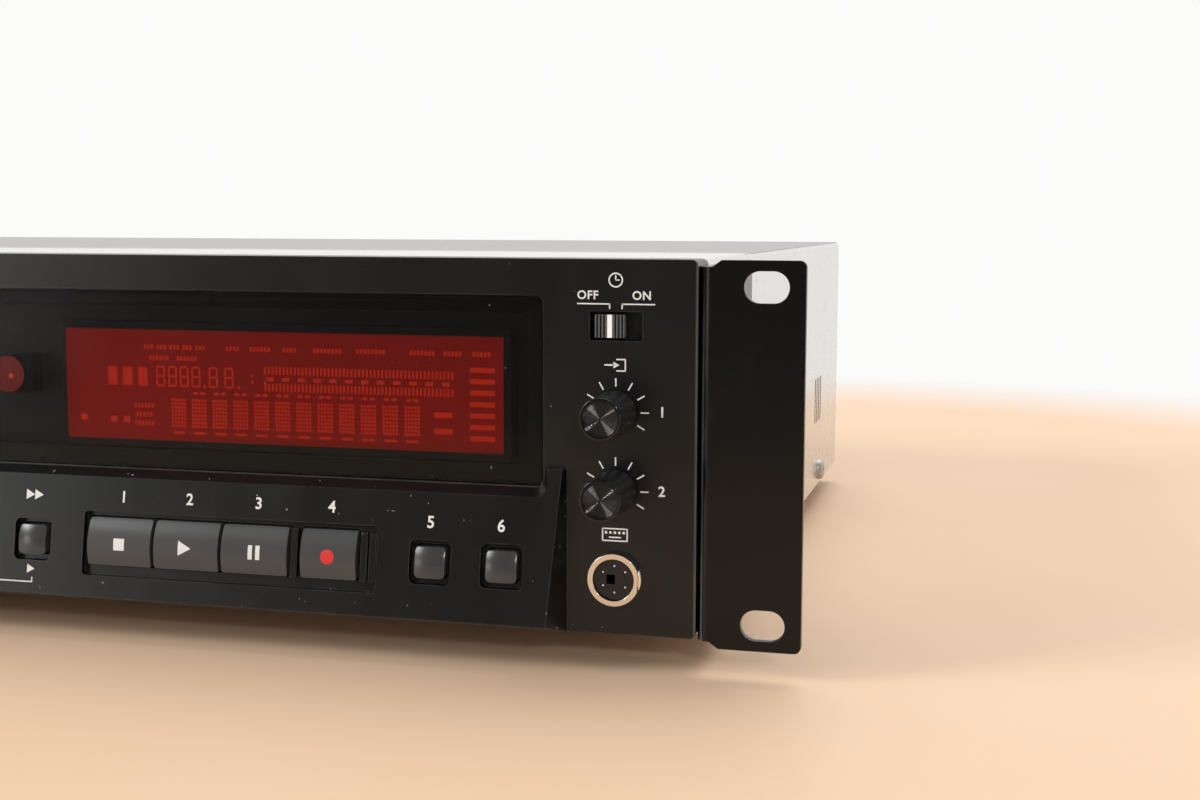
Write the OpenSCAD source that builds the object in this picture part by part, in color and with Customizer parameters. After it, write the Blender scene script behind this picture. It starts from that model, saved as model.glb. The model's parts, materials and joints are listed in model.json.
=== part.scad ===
// Rack-mount disc recorder: a two-unit-high case on rubber feet, with a moulded front bezel, a loading
// tray with rack and gear drive, a smoked display window, transport keys, level knobs and rack ears.
// Inside the placed() frame X runs to the right, Y is the depth behind the bezel face and Z is the
// height above the underside of the case. The origin is the centre of the footprint, on the floor.

/* [Case] */
// Width of the case and of the front bezel
case_w = 434.6; // [426:0.2:436]
// Height of the case and of the rack ears
case_h = 88.1; // [86:0.1:96]
// Depth of the case from the bezel face to the rear panel
case_d = 286; // [280:1:320]
// Thickness of the steel sheets
sheet_t = 1; // [0.8:0.1:1.4]
// Radius of the folds of the cover
fold_r = 1.8; // [1.6:0.1:3]
// Height of the rubber feet
foot_h = 6.9; // [5:0.1:12]
// Radius of a rubber foot at the top
foot_r = 12; // [9:0.5:14]
// Distance from a side of the case to the centre of a foot
foot_inset = 44; // [40:1:60]
// Number of cooling slots in each side of the cover
vent_count = 4; // [2:1:6]

/* [Rack ears] */
// Overall width over both rack ears
rack_w = 482.6; // [480:0.1:484]
// Distance from the outer edge of an ear to the centre of its slots
slot_inset = 8.75; // [8:0.05:9.5]
// Distance from the top and the bottom of an ear to the centre of its slots
slot_edge = 5.95; // [5:0.05:7]
// Length of a mounting slot
slot_l = 10.1; // [9:0.1:12]
// Height of a mounting slot
slot_h = 7.1; // [6.5:0.1:7.6]
// Thickness of the ear plate
ear_t = 2; // [1.6:0.1:2.6]
// Depth of the ear's side flange
ear_depth = 62; // [50:1:80]
// Outer radius of the ear's fold
ear_fold_r = 3; // [2.8:0.1:4]

/* [Bezel] */
// Wall of the bezel's face
bezel_t = 3; // [2.6:0.1:3.6]
// Depth of the bezel's rim
bezel_d = 12; // [11:0.1:14]
// Height of the bezel's lower edge above the case's underside
bezel_lift = 2; // [1:0.1:3]
// Radius of the bezel's corners
bezel_r = 1.5; // [1:0.1:2]
// Distance from a side of the case to the column of round controls
column_inset = 18.8; // [17:0.1:19]
// Distance from a side of the case to the raised console
console_inset = 30.3; // [29:0.1:32]
// Height of the raised console's horns
console_h = 40.1; // [39:0.1:42]
// Height of the console's lower front edge
console_low = 4.2; // [4:0.1:5]
// How far the console's face leans back, in degrees
console_lean = 9.5; // [8:0.1:11]
// How far the console stands out at the top of its horns
console_step = 1.6; // [1.2:0.1:2]
// Wall of the console
console_t = 2.2; // [1.8:0.1:2.6]

/* [Display] */
// Distance from the middle to the smoked window's left edge
window_left = 8; // [6:0.5:10]
// Height of the window's lower edge
window_low = 36; // [35.8:0.1:37]
// Distance from the window to the top of the case
window_drop = 8.7; // [7:0.1:10]
// Thickness of the window
window_t = 2; // [1.6:0.1:2.2]
// Width of the red display filter
filter_w = 114.6; // [110:0.1:118]
// Height of the red display filter
filter_h = 27.4; // [24:0.1:30]
// Thickness of the red display filter
filter_t = 0.8; // [0.5:0.1:1.2]
// Radius of the remote control sensor
sensor_r = 4.6; // [4:0.1:5.5]

/* [Buttons] */
// Height of the centre line of all push buttons on the console
button_row = 17.4; // [16.5:0.1:18.5]
// Distance between neighbouring transport keys
key_pitch = 18.1; // [17.9:0.1:18.6]
// Width of a transport key
key_w = 17.1; // [16.4:0.1:17.4]
// Height of a transport key
key_h = 11.5; // [10.5:0.1:12]
// Width of the record key
record_w = 14.1; // [13:0.1:14.5]
// Width of a small button
small_w = 7.4; // [6.6:0.1:8]
// Height of a small button
small_h = 7.2; // [6.6:0.1:8]
// Width of the recess round a small button
small_recess = 10.2; // [9.8:0.1:10.8]
// Travel of a push button
press = 0.8; // [0.5:0.1:1]
// Width of the power button
power_w = 12; // [10:0.5:14]
// Travel of the latching power button
power_press = 2; // [1.4:0.1:2.2]

/* [Knobs] */
// Radius of a level knob
knob_r = 5; // [4.4:0.1:5.6]
// Length of a level knob
knob_l = 14; // [11:0.1:16]
// Radius of the jog dial
dial_r = 10.6; // [9.6:0.1:11]
// Length of the jog dial
dial_l = 10; // [8:0.5:11]
// Radius of the control spindles
spindle_r = 3; // [2.5:0.1:3.2]
// Travel of the timer switch
timer_travel = 2.7; // [2:0.1:3]

/* [Loading tray] */
// Sideways place of the drive's centre line
drive_x = -80; // [-84:1:-76]
// Radius of the disc that the tray takes
disc_r = 60; // [59:0.5:61]
// Play round the disc in its pocket
disc_play = 0.8; // [0.5:0.1:1.2]
// Width of the tray beside the disc pocket, on each side
tray_rim = 5.2; // [4.8:0.1:6]
// Length of the tray that its runners still hold when it is out
tray_hold = 30; // [28:1:40]
// Thickness of the tray at its rim
tray_t = 6; // [5.5:0.1:6.6]
// Height of the tray's underside
tray_z = 58; // [57.8:0.1:58.6]
// Distance that the tray travels
tray_travel = 135; // [120:1:136]
// Height of the tray door
door_h = 20; // [18.6:0.1:21]
// Thickness of the tray door
door_t = 5; // [4.8:0.1:5.2]
// Module of the tray's rack and of the gear that drives it
rack_module = 1.2; // [1.1:0.1:1.2]
// Teeth of the gear on the rack
rack_gear_teeth = 16; // [14:2:16]
// Module of the reduction gears
gear_module = 0.8; // [0.7:0.1:0.8]
// Teeth of the large reduction gear
big_gear_teeth = 40; // [36:2:40]
// Teeth of the pinion on the belt pulley
pinion_teeth = 12; // [12:4:16]

/* [Rear] */
// Length of a phono socket's barrel outside the rear panel
barrel_l = 8; // [7:0.1:9]
// Radius of a phono socket's barrel
barrel_r = 4.15; // [4:0.05:4.3]
// Width of the mains inlet's recess
inlet_w = 24.4; // [23:0.1:26]
// Height of the mains inlet's recess
inlet_h = 16.6; // [15:0.1:18]

/* [Hidden] */
$fn = 48;

// Clearances: seat is the air left between bodies that move past each other, fit is radial play
seat = 0.3;
fit = 0.05;
play = 0.35;
cut = 1;

// Places of the whole product
knob_gap = 0.6;
front_reach = knob_gap + knob_l;
face_y = front_reach - (front_reach + case_d + barrel_l) / 2;
half_w = case_w / 2;
column_x = half_w - column_inset;
slot_span = rack_w - 2 * slot_inset;
slot_rise = case_h - 2 * slot_edge;

// Console: its face leans back, its sides are drafted and its top is cut away round the window
console_half = half_w - console_inset;
lean = tan(console_lean);
console_foot = bezel_lift - 0.4;
side_draft = 22;
notch_draft = 0.75;
notch_depth = 4;
notch_r = 2.5;
function console_y(z) = -(console_step + (console_h - z) * lean);

// Window and display
window_gap = 0.3;
window_r = 1.6;
window_ledge = 4;
window_right = console_half - 6;
window_w = window_right - window_left;
window_x = window_right - window_w / 2;
window_top = case_h - window_drop;
window_h = window_top - window_low;
window_z = (window_top + window_low) / 2;
console_top = window_low - window_gap - 2.2;
filter_x = window_right - 10.4 - filter_w / 2;
filter_z = window_z - 1.7;
sensor_x = filter_x - filter_w / 2 - 16.6;
tube_rim = 1.8;

// Front board and the pieces on it
board_y = bezel_d - 2;
board_t = 1.6;
board_low = 6;
board_step = window_low - 3;
board_top = case_h - 4;
tact_w = 6;
tact_d = 3.5;
tact_tip = 0.9;
tip_y = board_y - tact_d - tact_tip;
pot_w = 9.8;
pot_y = board_y - 5;
rim_t = 2.2;

// Buttons
stop_x = console_half - 112.6;
play_x = stop_x + key_pitch;
pause_x = play_x + key_pitch;
key_side = 0.9;
record_side = 0.45;
record_rib = 2.25;
record_x = pause_x + key_w / 2 + key_side + record_rib + record_side + record_w / 2;
key_z = button_row + 0.4;
small_pitch = 19.6;
search_forward_x = stop_x - 24.2;
search_back_x = search_forward_x - small_pitch;
sync_x = record_x + 25.5;
input_select_x = sync_x + 17.5;
dial_gap = 0.8;
dial_margin = dial_r + dial_gap + 8 + small_recess / 2;
dial_x = search_back_x - dial_margin;
dial_z = button_row + 1;
menu_x = dial_x - dial_margin;
display_x = menu_x - small_pitch;
small_spots = [search_forward_x, search_back_x, sync_x, input_select_x, menu_x, display_x];
key_spots = [stop_x, play_x, pause_x, record_x];
small_depth = 2;
well_depth = 1.6;
well_rim = 1.5;
well_left = stop_x - key_w / 2 - well_rim;
well_right = record_x + record_w / 2 + 5.1;
well_h = key_h + 4.1;
well_z = button_row - 0.1;
dial_floor = console_y(dial_z + dial_r + dial_gap) + 1.9;
cap_wall = 1.4;
lip = 1.2;
lip_t = 1;
key_crown = 14;
small_crown = 13;
key_proud = 0.6;
small_proud = 0.9;

// Round controls, socket and switches beside the console
timer_z = case_h - 15.1;
timer_x = column_x - timer_travel / 2;
timer_slot_w = 12.2;
timer_slot_h = 6.6;
slider_w = 6.9;
slider_h = 5.2;
knob_left_z = 53.5;
knob_right_z = 35.4;
socket_z = 15;
socket_r = 6.1;
insert_r = 4.8;
phones_r = 3.2;
power_z = timer_z;
power_h = 7;
open_w = 9.4;
open_h = 5.6;
flat_proud = 1.8;

// Loading tray and its drive
tray_half = disc_r + disc_play + tray_rim;
door_w = 2 * tray_half + 5;
door_gap = 0.5;
door_proud = 0.6;
door_z = tray_z + 3;
tray_front = door_t - door_proud;
tray_l = tray_travel + tray_hold;
disc_y = tray_front + tray_half;
tray_back = tray_front + tray_l;
pocket_floor = tray_z + 2;
small_disc_r = 40.5;
hub_slot = 17;
open_x = (drive_x + door_w / 2 + window_x - window_w / 2) / 2;
rack_h = 6;
rack_gear_r = rack_module * rack_gear_teeth / 2;
big_gear_r = gear_module * big_gear_teeth / 2;
pinion_r = gear_module * pinion_teeth / 2;
backlash = 0.36;
addendum = 0.85;
dedendum = 1.2;
flank_steps = 3;
gear_x = drive_x + 32;
gear_y = 32;
pulley_x = gear_x - big_gear_r - pinion_r;
motor_x = drive_x - 22;
rack_x = gear_x + rack_gear_r;
pulley_r = 9;
motor_pulley_r = 3;
belt_t = 1.2;
belt_z = 41;
post_r = 2.5;
pulley_post_r = 1.5;

// Drive frame and traverse
frame_wall = 2;
frame_gap = 0.5;
frame_half = tray_half + frame_gap + frame_wall;
frame_front = bezel_d + 2;
frame_back = tray_back + 20;
frame_low = 34;
floor_t = 2;
floor_z = frame_low + floor_t;
frame_top = tray_z + tray_t + 6;
pivot_y = 164;
pivot_z = 45.5;
pivot_r = 2;
plate_t = 3;
plate_z = pivot_z + plate_t / 2;
plate_left = -48;
plate_right = 36;
plate_front = 50;
plate_back = pivot_y + 4;
rod_x = 25;
rod_z = plate_z + 4;
rod_r = 1.5;
rod_front = disc_y + 13.6;
rod_back = rod_front + 78;
pickup_front = rod_front + 5;
pickup_l = 30;
lens_y = disc_y + 23;
sled_travel = 36;
sled_teeth = 20;
sled_pinion_teeth = 10;
sled_gear_r = gear_module * sled_teeth / 2;
sled_pinion_r = gear_module * sled_pinion_teeth / 2;
sled_rack_x = -32;
sled_gear_x = sled_rack_x - sled_gear_r;
sled_gear_y = pickup_front + 35;
sled_pinion_y = sled_gear_y - sled_gear_r - sled_pinion_r;
sled_z = plate_z + 1.5;
sled_t = 3.5;
disc_seat = pocket_floor + 1.2;
bridge_t = 1.2;
bridge_hole = 11;

// Case, boards and rear
front_wall_y = bezel_d + 0.2;
case_inner = half_w - sheet_t;
side_gap = 0.1;
screw_r = 1.9;
screw_hole = 2.1;
head_r = 3.6;
head_t = 2;
ear_screw_y = 42;
ear_screw_z = [18, case_h - 18];
cover_screw_y = [110, 230];
cover_screw_z = 6.5;
foot_x = half_w - foot_inset;
foot_y = [foot_inset, case_d - foot_inset];
pcb_z = 8;
pcb_t = 1.6;
pcb_top = pcb_z + pcb_t;
pcb_corner = 5;
main_left = drive_x + frame_half + 23.5;
main_right = case_inner - 8.3;
main_front = 60;
main_back = case_d - 12;
supply_left = -(case_inner - 6.3);
supply_right = drive_x - frame_half - 13.5;
supply_w = supply_right - supply_left;
supply_front = 70;
supply_back = case_d - 36;
core_w = supply_w - 8;
core_l = 44;
core_h = 34;
bobbin_over = 7;
bobbin_front = supply_front + 13;
bobbin_end = bobbin_front + core_l + 2 * bobbin_over;
cap_r = supply_w * 3 / 16;
cap_y = supply_back - cap_r - pcb_corner;
sink_l = 40;
sink_h = 38;
sink_front = (bobbin_end + cap_y - cap_r - sink_l) / 2;
fin_t = 1.4;
fin_pitch = 5.8;
inlet_x = -(half_w - 30.3);
inlet_z = 32;
inlet_depth = 20;
phono_x = [for (n = [0:2]) main_left + 48 + 22 * n];
phono_z = [22, 36];
phono_block = 16;
phono_depth = 20;
collar_t = 1;
optical_x = [for (n = [0:1]) main_right - 68 + 18 * n];
optical_z = 20;
optical_w = 10;
vent_y = 225.5;
vent_z = 32.4;
vent_h = 16;
vent_w = 2.4;
vent_pitch = 5;
base_vent_w = 3;
base_vent_l = 60;
base_vent_pitch = 8;
base_vent_in = 60;
base_vent_y = case_d / 2 - 23;
ribbon_x = 60;
ribbon_w = 25;
ribbon_z = 68;
ribbon_land = 72;

// Puts a piece that is drawn from the bezel face and the case's underside into the part's own frame
module placed() {
    translate([0, face_y, foot_h]) children();
}

// Gives a flat outline in X and Z a thickness from depth y0 to depth y1
module slab(y0, y1) {
    translate([0, y1, 0]) rotate([90, 0, 0]) linear_extrude(y1 - y0) children();
}

// Runs a flat outline in Y and Z along X, over a width centred on zero
module bar(w) {
    translate([-w / 2, 0, 0]) rotate([90, 0, 90]) linear_extrude(w) children();
}

// A rectangle with round corners, centred on a point
module rounded(x, z, w, h, r) {
    translate([x, z]) {
        square([w - 2 * r, h], center = true);
        square([w, h - 2 * r], center = true);
        for (side = [-1, 1], rise = [-1, 1])
            translate([side * (w / 2 - r), rise * (h / 2 - r)]) circle(r);
    }
}

// A round bar along Y from depth y0 to depth y1
module pin_y(x, z, r, y0, y1) {
    translate([x, y1, z]) rotate([90, 0, 0]) cylinder(h = y1 - y0, r = r);
}

// An upright round bar
module pin_z(x, y, r, z0, z1) {
    translate([x, y, z0]) cylinder(h = z1 - z0, r = r);
}

// A box between two corners
module block(a, b) {
    translate(a) cube(b - a);
}

// All the space in front of the console's face, moved back by a depth
module before_console(depth) {
    reach = 400;
    translate([-reach / 2, console_y(console_h) + depth, console_h])
        rotate([-console_lean, 0, 0]) translate([0, -reach / 4, -reach / 4])
        cube([reach, reach / 4, reach / 2]);
}

module notch_outline(spread) {
    low = window_low - window_gap - spread;
    high = console_h + 10;
    half = window_right + window_gap + spread;
    rounded(0, (low + high) / 2, 2 * half, high - low, notch_r + spread / 2);
}

module console_solid() {
    difference() {
        bar(2 * console_half) polygon([[cut, console_h], [console_y(console_h), console_h],
            [console_y(console_low), console_low], [0, console_foot], [cut, console_foot]]);
        hull() {
            slab(0.4, 0.5) notch_outline(0);
            slab(-notch_depth, 0.1 - notch_depth) notch_outline(notch_depth * notch_draft);
        }
        for (side = [0, 1]) mirror([side, 0, 0])
            translate([console_half, 0, -cut]) rotate([0, 0, -side_draft])
            translate([0, -30, 0]) cube([30, 30, 60]);
    }
}

module console_hollow() {
    low = console_low + console_t;
    high = console_top - console_t;
    bar(2 * (console_half - 3 * console_t)) polygon([[bezel_t + cut, low],
        [console_y(low) + console_t, low], [console_y(high) + console_t, high],
        [bezel_t + cut, high]]);
}

// Walls round the openings in the console, from its face back to the bezel's rear
module console_sleeves() {
    sleeve = 1.8;
    intersection() {
        console_solid_and_plate();
        union() {
            slab(-20, bezel_t) rounded((well_left + well_right) / 2, well_z,
                well_right - well_left, well_h, 1);
            for (x = small_spots) slab(-20, bezel_t)
                rounded(x, button_row, small_recess + sleeve, small_recess + sleeve, 1);
            pin_y(dial_x, dial_z, dial_r + dial_gap + sleeve, -20, dial_floor + console_t);
        }
    }
}

module console_solid_and_plate() {
    console_solid();
    block([-console_half, 0, console_foot], [console_half, bezel_t, console_top]);
}

// The recess round the transport keys keeps three upright ribs beside the record key
module well_recess() {
    rib_z = key_z - key_h / 2;
    middle = (well_left + well_right) / 2;
    record_right = record_x + record_w / 2;
    difference() {
        intersection() {
            slab(-20, bezel_t) rounded(middle, well_z, well_right - well_left, well_h, 1);
            before_console(well_depth);
        }
        for (x = [pause_x + key_w / 2 + key_side, record_right + record_side + 0.6, record_right + 3.2])
            block([x, -20, rib_z], [x + 1.7, bezel_t, rib_z + key_h]);
    }
}

module console_openings() {
    key_room = key_h + 2 * play;
    well_recess();
    slab(-20, bezel_t + cut) rounded(play_x, key_z, 2 * key_pitch + key_w + 2 * key_side, key_room, 0.8);
    slab(-20, bezel_t + cut) rounded(record_x, key_z, record_w + 2 * record_side, key_room, 0.8);
    for (x = small_spots) {
        intersection() {
            slab(-20, bezel_t) rounded(x, button_row, small_recess, small_recess, 1.5);
            before_console(small_depth);
        }
        slab(-20, bezel_t + cut) rounded(x, button_row, small_w + 2 * play, small_h + 2 * play, 1);
    }
    pin_y(dial_x, dial_z, dial_r + dial_gap, -20, dial_floor);
    pin_y(dial_x, dial_z, spindle_r + play, -20, bezel_t + cut);
}

module face_openings() {
    slab(-cut, window_t) rounded(window_x, window_z, window_w + 2 * window_gap,
        window_h + 2 * window_gap, window_r);
    slab(-cut, bezel_t + cut) rounded(window_x, window_z, window_w - 2 * window_ledge,
        window_h - 2 * window_ledge, window_r);
    slab(-cut, bezel_t + cut) rounded(drive_x, door_z, door_w + 2 * door_gap, door_h + 2 * door_gap, 1);
    slab(-cut, bezel_t + cut) rounded(open_x, door_z, open_w + 2 * play, open_h + 2 * play, 0.8);
    slab(-cut, bezel_t + cut) rounded(-column_x, power_z, power_w + 2 * play, power_h + 2 * play, 0.8);
    slab(-cut, bezel_t + cut) rounded(column_x, timer_z, timer_slot_w, timer_slot_h, 0.5);
    for (z = [knob_left_z, knob_right_z])
        pin_y(column_x, z, spindle_r + play, -cut, bezel_t + cut);
    pin_y(-column_x, knob_right_z, spindle_r + play, -cut, bezel_t + cut);
    pin_y(column_x, socket_z, socket_r + fit, -cut, bezel_t + cut);
    pin_y(-column_x, socket_z, phones_r + 1.3 + fit, -cut, bezel_t + cut);
}

module front_bezel() {
    high = case_h - bezel_lift;
    middle = bezel_lift + high / 2;
    low_boss = [-190, -158, -60, 24, 146, 190];
    side_boss = half_w - rim_t - 6.1;
    side_boss_z = (timer_z + knob_left_z) / 2;
    placed() color("#1b1b1c") difference() {
        union() {
            difference() {
                union() {
                    slab(0, bezel_d) rounded(0, middle, case_w, high, bezel_r);
                    console_solid();
                }
                slab(bezel_t, bezel_d + cut) rounded(0, middle, case_w - 2 * rim_t, high - 2 * rim_t, 1);
                console_hollow();
            }
            console_sleeves();
            for (x = low_boss) pin_y(x, board_low + 1.5, 2.4, bezel_t - cut, board_y);
            for (x = [-side_boss, side_boss]) pin_y(x, side_boss_z, 2.4, bezel_t - cut, board_y);
        }
        console_openings();
        face_openings();
    }
}

module display_window() {
    placed() color("#26201f", 0.55)
        slab(0, window_t) rounded(window_x, window_z, window_w, window_h, window_r);
}

module display_filter() {
    placed() color("#a01008", 0.8)
        slab(bezel_t, bezel_t + filter_t) rounded(filter_x, filter_z, filter_w, filter_h, 0.6);
}

module display_tube() {
    front = bezel_t + filter_t;
    placed() color("#3a3f3c") difference() {
        slab(front, board_y)
            rounded(filter_x, filter_z, filter_w + 2 * tube_rim, filter_h + 2 * tube_rim, 1);
        slab(front + 2.6, board_y - 1.4) rounded(filter_x, filter_z, filter_w - 2, filter_h - 2, 0.6);
    }
}

module remote_sensor() {
    placed() color("#701010") {
        pin_y(sensor_x, window_z, sensor_r, window_t + 0.4, board_y - 3);
        slab(board_y - 4, board_y) rounded(sensor_x, window_z, 2 * sensor_r + 1, 2 * sensor_r + 1, 1);
    }
}

// The board steps up beside the drive on the right and in the column on the left
module front_board() {
    edge = half_w - 5;
    placed() color("#1f5a35") difference() {
        slab(board_y, board_y + board_t) {
            translate([-edge, board_low]) square([2 * edge, board_step - board_low]);
            translate([window_x - window_w / 2 - 16, board_low])
                square([edge - window_x + window_w / 2 + 16, board_top - board_low]);
            translate([-edge, board_low]) square([edge - console_half - 4, board_top - board_low]);
        }
        slab(board_y - cut, board_y + board_t + cut)
            translate([-column_x - 8, socket_z - 8]) square([16, 16]);
    }
}

module tact_switch(x, z, size) {
    slab(board_y - tact_d, board_y) rounded(x, z, size, size, 0.5);
    pin_y(x, z, 1.7, tip_y, board_y - tact_d + 0.2);
}

module board_switches() {
    placed() color("#303030") {
        for (x = key_spots) tact_switch(x, key_z, tact_w);
        for (x = small_spots) tact_switch(x, button_row, tact_w);
        slab(board_y - 4.5, board_y) rounded(column_x, timer_z, 13, 7, 0.5);
        slab(board_y - 3.6, board_y) rounded(-column_x, power_z, 10, 8, 0.5);
        tact_switch(open_x, door_z, tact_w);
    }
}

module pot(x, z) {
    difference() {
        slab(pot_y, board_y) rounded(x, z, pot_w, pot_w + 1.2, 1);
        pin_y(x, z, spindle_r + fit, pot_y - cut, board_y - 1);
    }
}

module level_pots() {
    placed() color("#5c6066") {
        pot(column_x, knob_left_z);
        pot(column_x, knob_right_z);
        pot(-column_x, knob_right_z);
        pot(dial_x, dial_z);
    }
}

// A moulded cap on the console: a crowned front, a hollow back, a lip behind the bezel and a stem
module console_cap(x, z, w, h, r, crown, proud, long_crown) {
    front = console_y(z) - proud;
    inside = front + 2.4 + (long_crown ? 0.6 : 0.2);
    end = tip_y - press - 0.15;
    difference() {
        union() {
            intersection() {
                slab(-20, bezel_t + seat + lip_t) rounded(x, z, w, h, r);
                translate([x, front + crown * cos(console_lean), z - crown * sin(console_lean)])
                    if (long_crown) rotate([0, 90, 0]) cylinder(h = w + 2, r = crown, center = true);
                    else sphere(crown);
            }
            slab(bezel_t + seat, bezel_t + seat + lip_t)
                rounded(x, z, w, h + 2 * (play + lip), r);
        }
        slab(inside, 20) rounded(x, z, w - 2 * cap_wall, h - 2 * cap_wall, 0.4);
    }
    pin_y(x, z, 1.5, inside - 0.5, end);
}

module transport_key(x, w) {
    placed() color("#2b2d2f") console_cap(x, key_z, w, key_h, 0.5, key_crown, key_proud, true);
}

module small_button(x) {
    placed() color("#34373a")
        console_cap(x, button_row, small_w, small_h, 1, small_crown, small_proud, false);
}

module stop_button() {
    transport_key(stop_x, key_w);
}

module play_button() {
    transport_key(play_x, key_w);
}

module pause_button() {
    transport_key(pause_x, key_w);
}

module record_button() {
    transport_key(record_x, record_w);
}

module search_back_button() {
    small_button(search_back_x);
}

module search_forward_button() {
    small_button(search_forward_x);
}

module sync_button() {
    small_button(sync_x);
}

module input_select_button() {
    small_button(input_select_x);
}

module menu_button() {
    small_button(menu_x);
}

module display_button() {
    small_button(display_x);
}

// A cap through the flat part of the bezel, with its own travel and the place where its stem ends
module flat_cap(x, z, w, h, proud, end) {
    difference() {
        union() {
            slab(-proud, bezel_t + seat + lip_t) rounded(x, z, w, h, 0.6);
            slab(bezel_t + seat, bezel_t + seat + lip_t)
                rounded(x, z, w + 2 * (play + lip), h + 2 * (play + lip), 0.6);
        }
        slab(cap_wall - proud, 20) rounded(x, z, w - 2 * cap_wall, h - 2 * cap_wall, 0.4);
    }
    pin_y(x, z, 1.5, cap_wall / 2 - proud, end);
}

module open_close_button() {
    placed() color("#34373a")
        flat_cap(open_x, door_z, open_w, open_h, flat_proud, tip_y - press - 0.15);
}

module power_button() {
    placed() color("#34373a") flat_cap(-column_x, power_z, power_w, power_h, flat_proud + 1,
        board_y - 3.6 - power_press - 0.15);
}

// A turned knob: slightly tapered, with a chamfer and a dished face, on its own spindle
module turned_knob(x, z, r, l, back) {
    taper = 0.2;
    rim = 0.5;
    translate([x, back, z]) rotate([90, 0, 0]) rotate_extrude()
        polygon([[0, 0], [r, 0], [r - taper, l - rim], [r - taper - rim, l], [r - taper - 2 * rim, l],
            [r - taper - 2.4 * rim, l - 0.3], [0, l - 0.3]]);
    pin_y(x, z, spindle_r, back - l / 2, board_y - 1.4);
}

module phones_knob() {
    placed() color("#151515") turned_knob(-column_x, knob_right_z, knob_r, knob_l, -knob_gap);
}

module input_knob_left() {
    placed() color("#151515") turned_knob(column_x, knob_left_z, knob_r, knob_l, -knob_gap);
}

module input_knob_right() {
    placed() color("#151515") turned_knob(column_x, knob_right_z, knob_r, knob_l, -knob_gap);
}

// The dial has a dimple for a fingertip near its rim
module jog_dial() {
    back = dial_floor - 0.5;
    placed() color("#202224") difference() {
        turned_knob(dial_x, dial_z, dial_r, dial_l, back);
        translate([dial_x, back - dial_l - 3, dial_z + dial_r * 0.55]) sphere(5);
    }
}

// A ridged slider on a shutter plate that closes the slot from behind
module timer_switch() {
    shutter_half = timer_slot_w / 2 + timer_travel / 2 + 1;
    placed() color("#3c3f42") {
        difference() {
            slab(-0.6, bezel_t + seat + 0.2) rounded(timer_x, timer_z, slider_w, slider_h, 0.3);
            for (side = [-1, 1], n = [1, 2, 3])
                translate([timer_x + side * (0.5 + n * 0.8), 0, timer_z])
                cube([0.4, 2, slider_h + 1], center = true);
        }
        slab(bezel_t + seat, bezel_t + seat + 0.8)
            rounded(timer_x, timer_z, 2 * shutter_half, timer_slot_h + 2, 0.5);
        slab(bezel_t + seat, board_y - 4.5 - seat) rounded(timer_x, timer_z, 3, 3, 0.3);
    }
}

// Nickel shell of the keyboard socket, with its flat side
module keyboard_socket() {
    placed() color("silver") difference() {
        pin_y(column_x, socket_z, socket_r, -2, board_y);
        pin_y(column_x, socket_z, insert_r + fit, -2 - cut, board_y + cut);
        block([column_x + socket_r - 0.5, -2 - cut, 0], [column_x + socket_r + cut, -0.2, 30]);
    }
}

// Black insert with six contact holes round a key
module keyboard_insert() {
    hole_ring = 3.1;
    placed() color("#101010") difference() {
        pin_y(column_x, socket_z, insert_r, -1.1, board_y);
        for (angle = [-150, -90, -35, 35, 90, 150])
            pin_y(column_x + hole_ring * cos(angle), socket_z + hole_ring * sin(angle), 0.45, -2, 5);
        slab(-2, 5) translate([column_x - 1.8, socket_z - 1.1]) square([2, 2.2]);
    }
}

// Headphone jack: a ring outside the bezel, the bushing through it and the body behind
module phones_jack() {
    back = 26;
    placed() color("#202020") difference() {
        union() {
            pin_y(-column_x, socket_z, phones_r + 2.8, -1.6, 0);
            pin_y(-column_x, socket_z, phones_r + 1.3, -cut, bezel_t + cut);
            slab(bezel_t, back) rounded(-column_x, socket_z, 13, 13, 1);
        }
        pin_y(-column_x, socket_z, phones_r, -2, back - 2);
    }
}

// The tray's front door, with a shallow frame line on its face
module tray_door() {
    placed() color("#1e1e1f") difference() {
        slab(-door_proud, door_t - door_proud) rounded(drive_x, door_z, door_w, door_h, 0.8);
        slab(-door_proud - cut, 0.3 - door_proud) difference() {
            rounded(drive_x, door_z, door_w - 5, door_h - 5, 0.8);
            rounded(drive_x, door_z, door_w - 6, door_h - 6, 0.5);
        }
    }
}

// Involute gear teeth, and below them the rack that they run on
function to_degrees(a) = a * 180 / PI;
function roll_angle(q) = to_degrees(q) - atan(q);
function involute_turn(rho, base) = roll_angle(sqrt(max(0, pow(rho / base, 2) - 1)));
function half_tooth(rho, r, m) = to_degrees((PI * m - backlash) / (4 * r))
    + involute_turn(r, r * cos(20)) - involute_turn(max(rho, r * cos(20)), r * cos(20));
function on_circle(rho, a) = [rho * cos(a), rho * sin(a)];
function flank_radius(r, m, k) = max(r - m, r * cos(20))
    + (r + addendum * m - max(r - m, r * cos(20))) * k / flank_steps;
function gear_points(m, n) = [for (i = [0:n - 1]) let (r = m * n / 2, a = 360 * i / n) each concat(
    [on_circle(r - dedendum * m, a - half_tooth(0, r, m))],
    [for (k = [0:flank_steps]) let (q = flank_radius(r, m, k)) on_circle(q, a - half_tooth(q, r, m))],
    [for (k = [flank_steps:-1:0]) let (q = flank_radius(r, m, k)) on_circle(q, a + half_tooth(q, r, m))],
    [on_circle(r - dedendum * m, a + half_tooth(0, r, m))])];

module gear(x, y, z0, z1, m, n, bore, turn = 0) {
    translate([x, y, z0]) rotate([0, 0, turn]) linear_extrude(z1 - z0) difference() {
        polygon(gear_points(m, n));
        circle(bore);
    }
}

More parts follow.
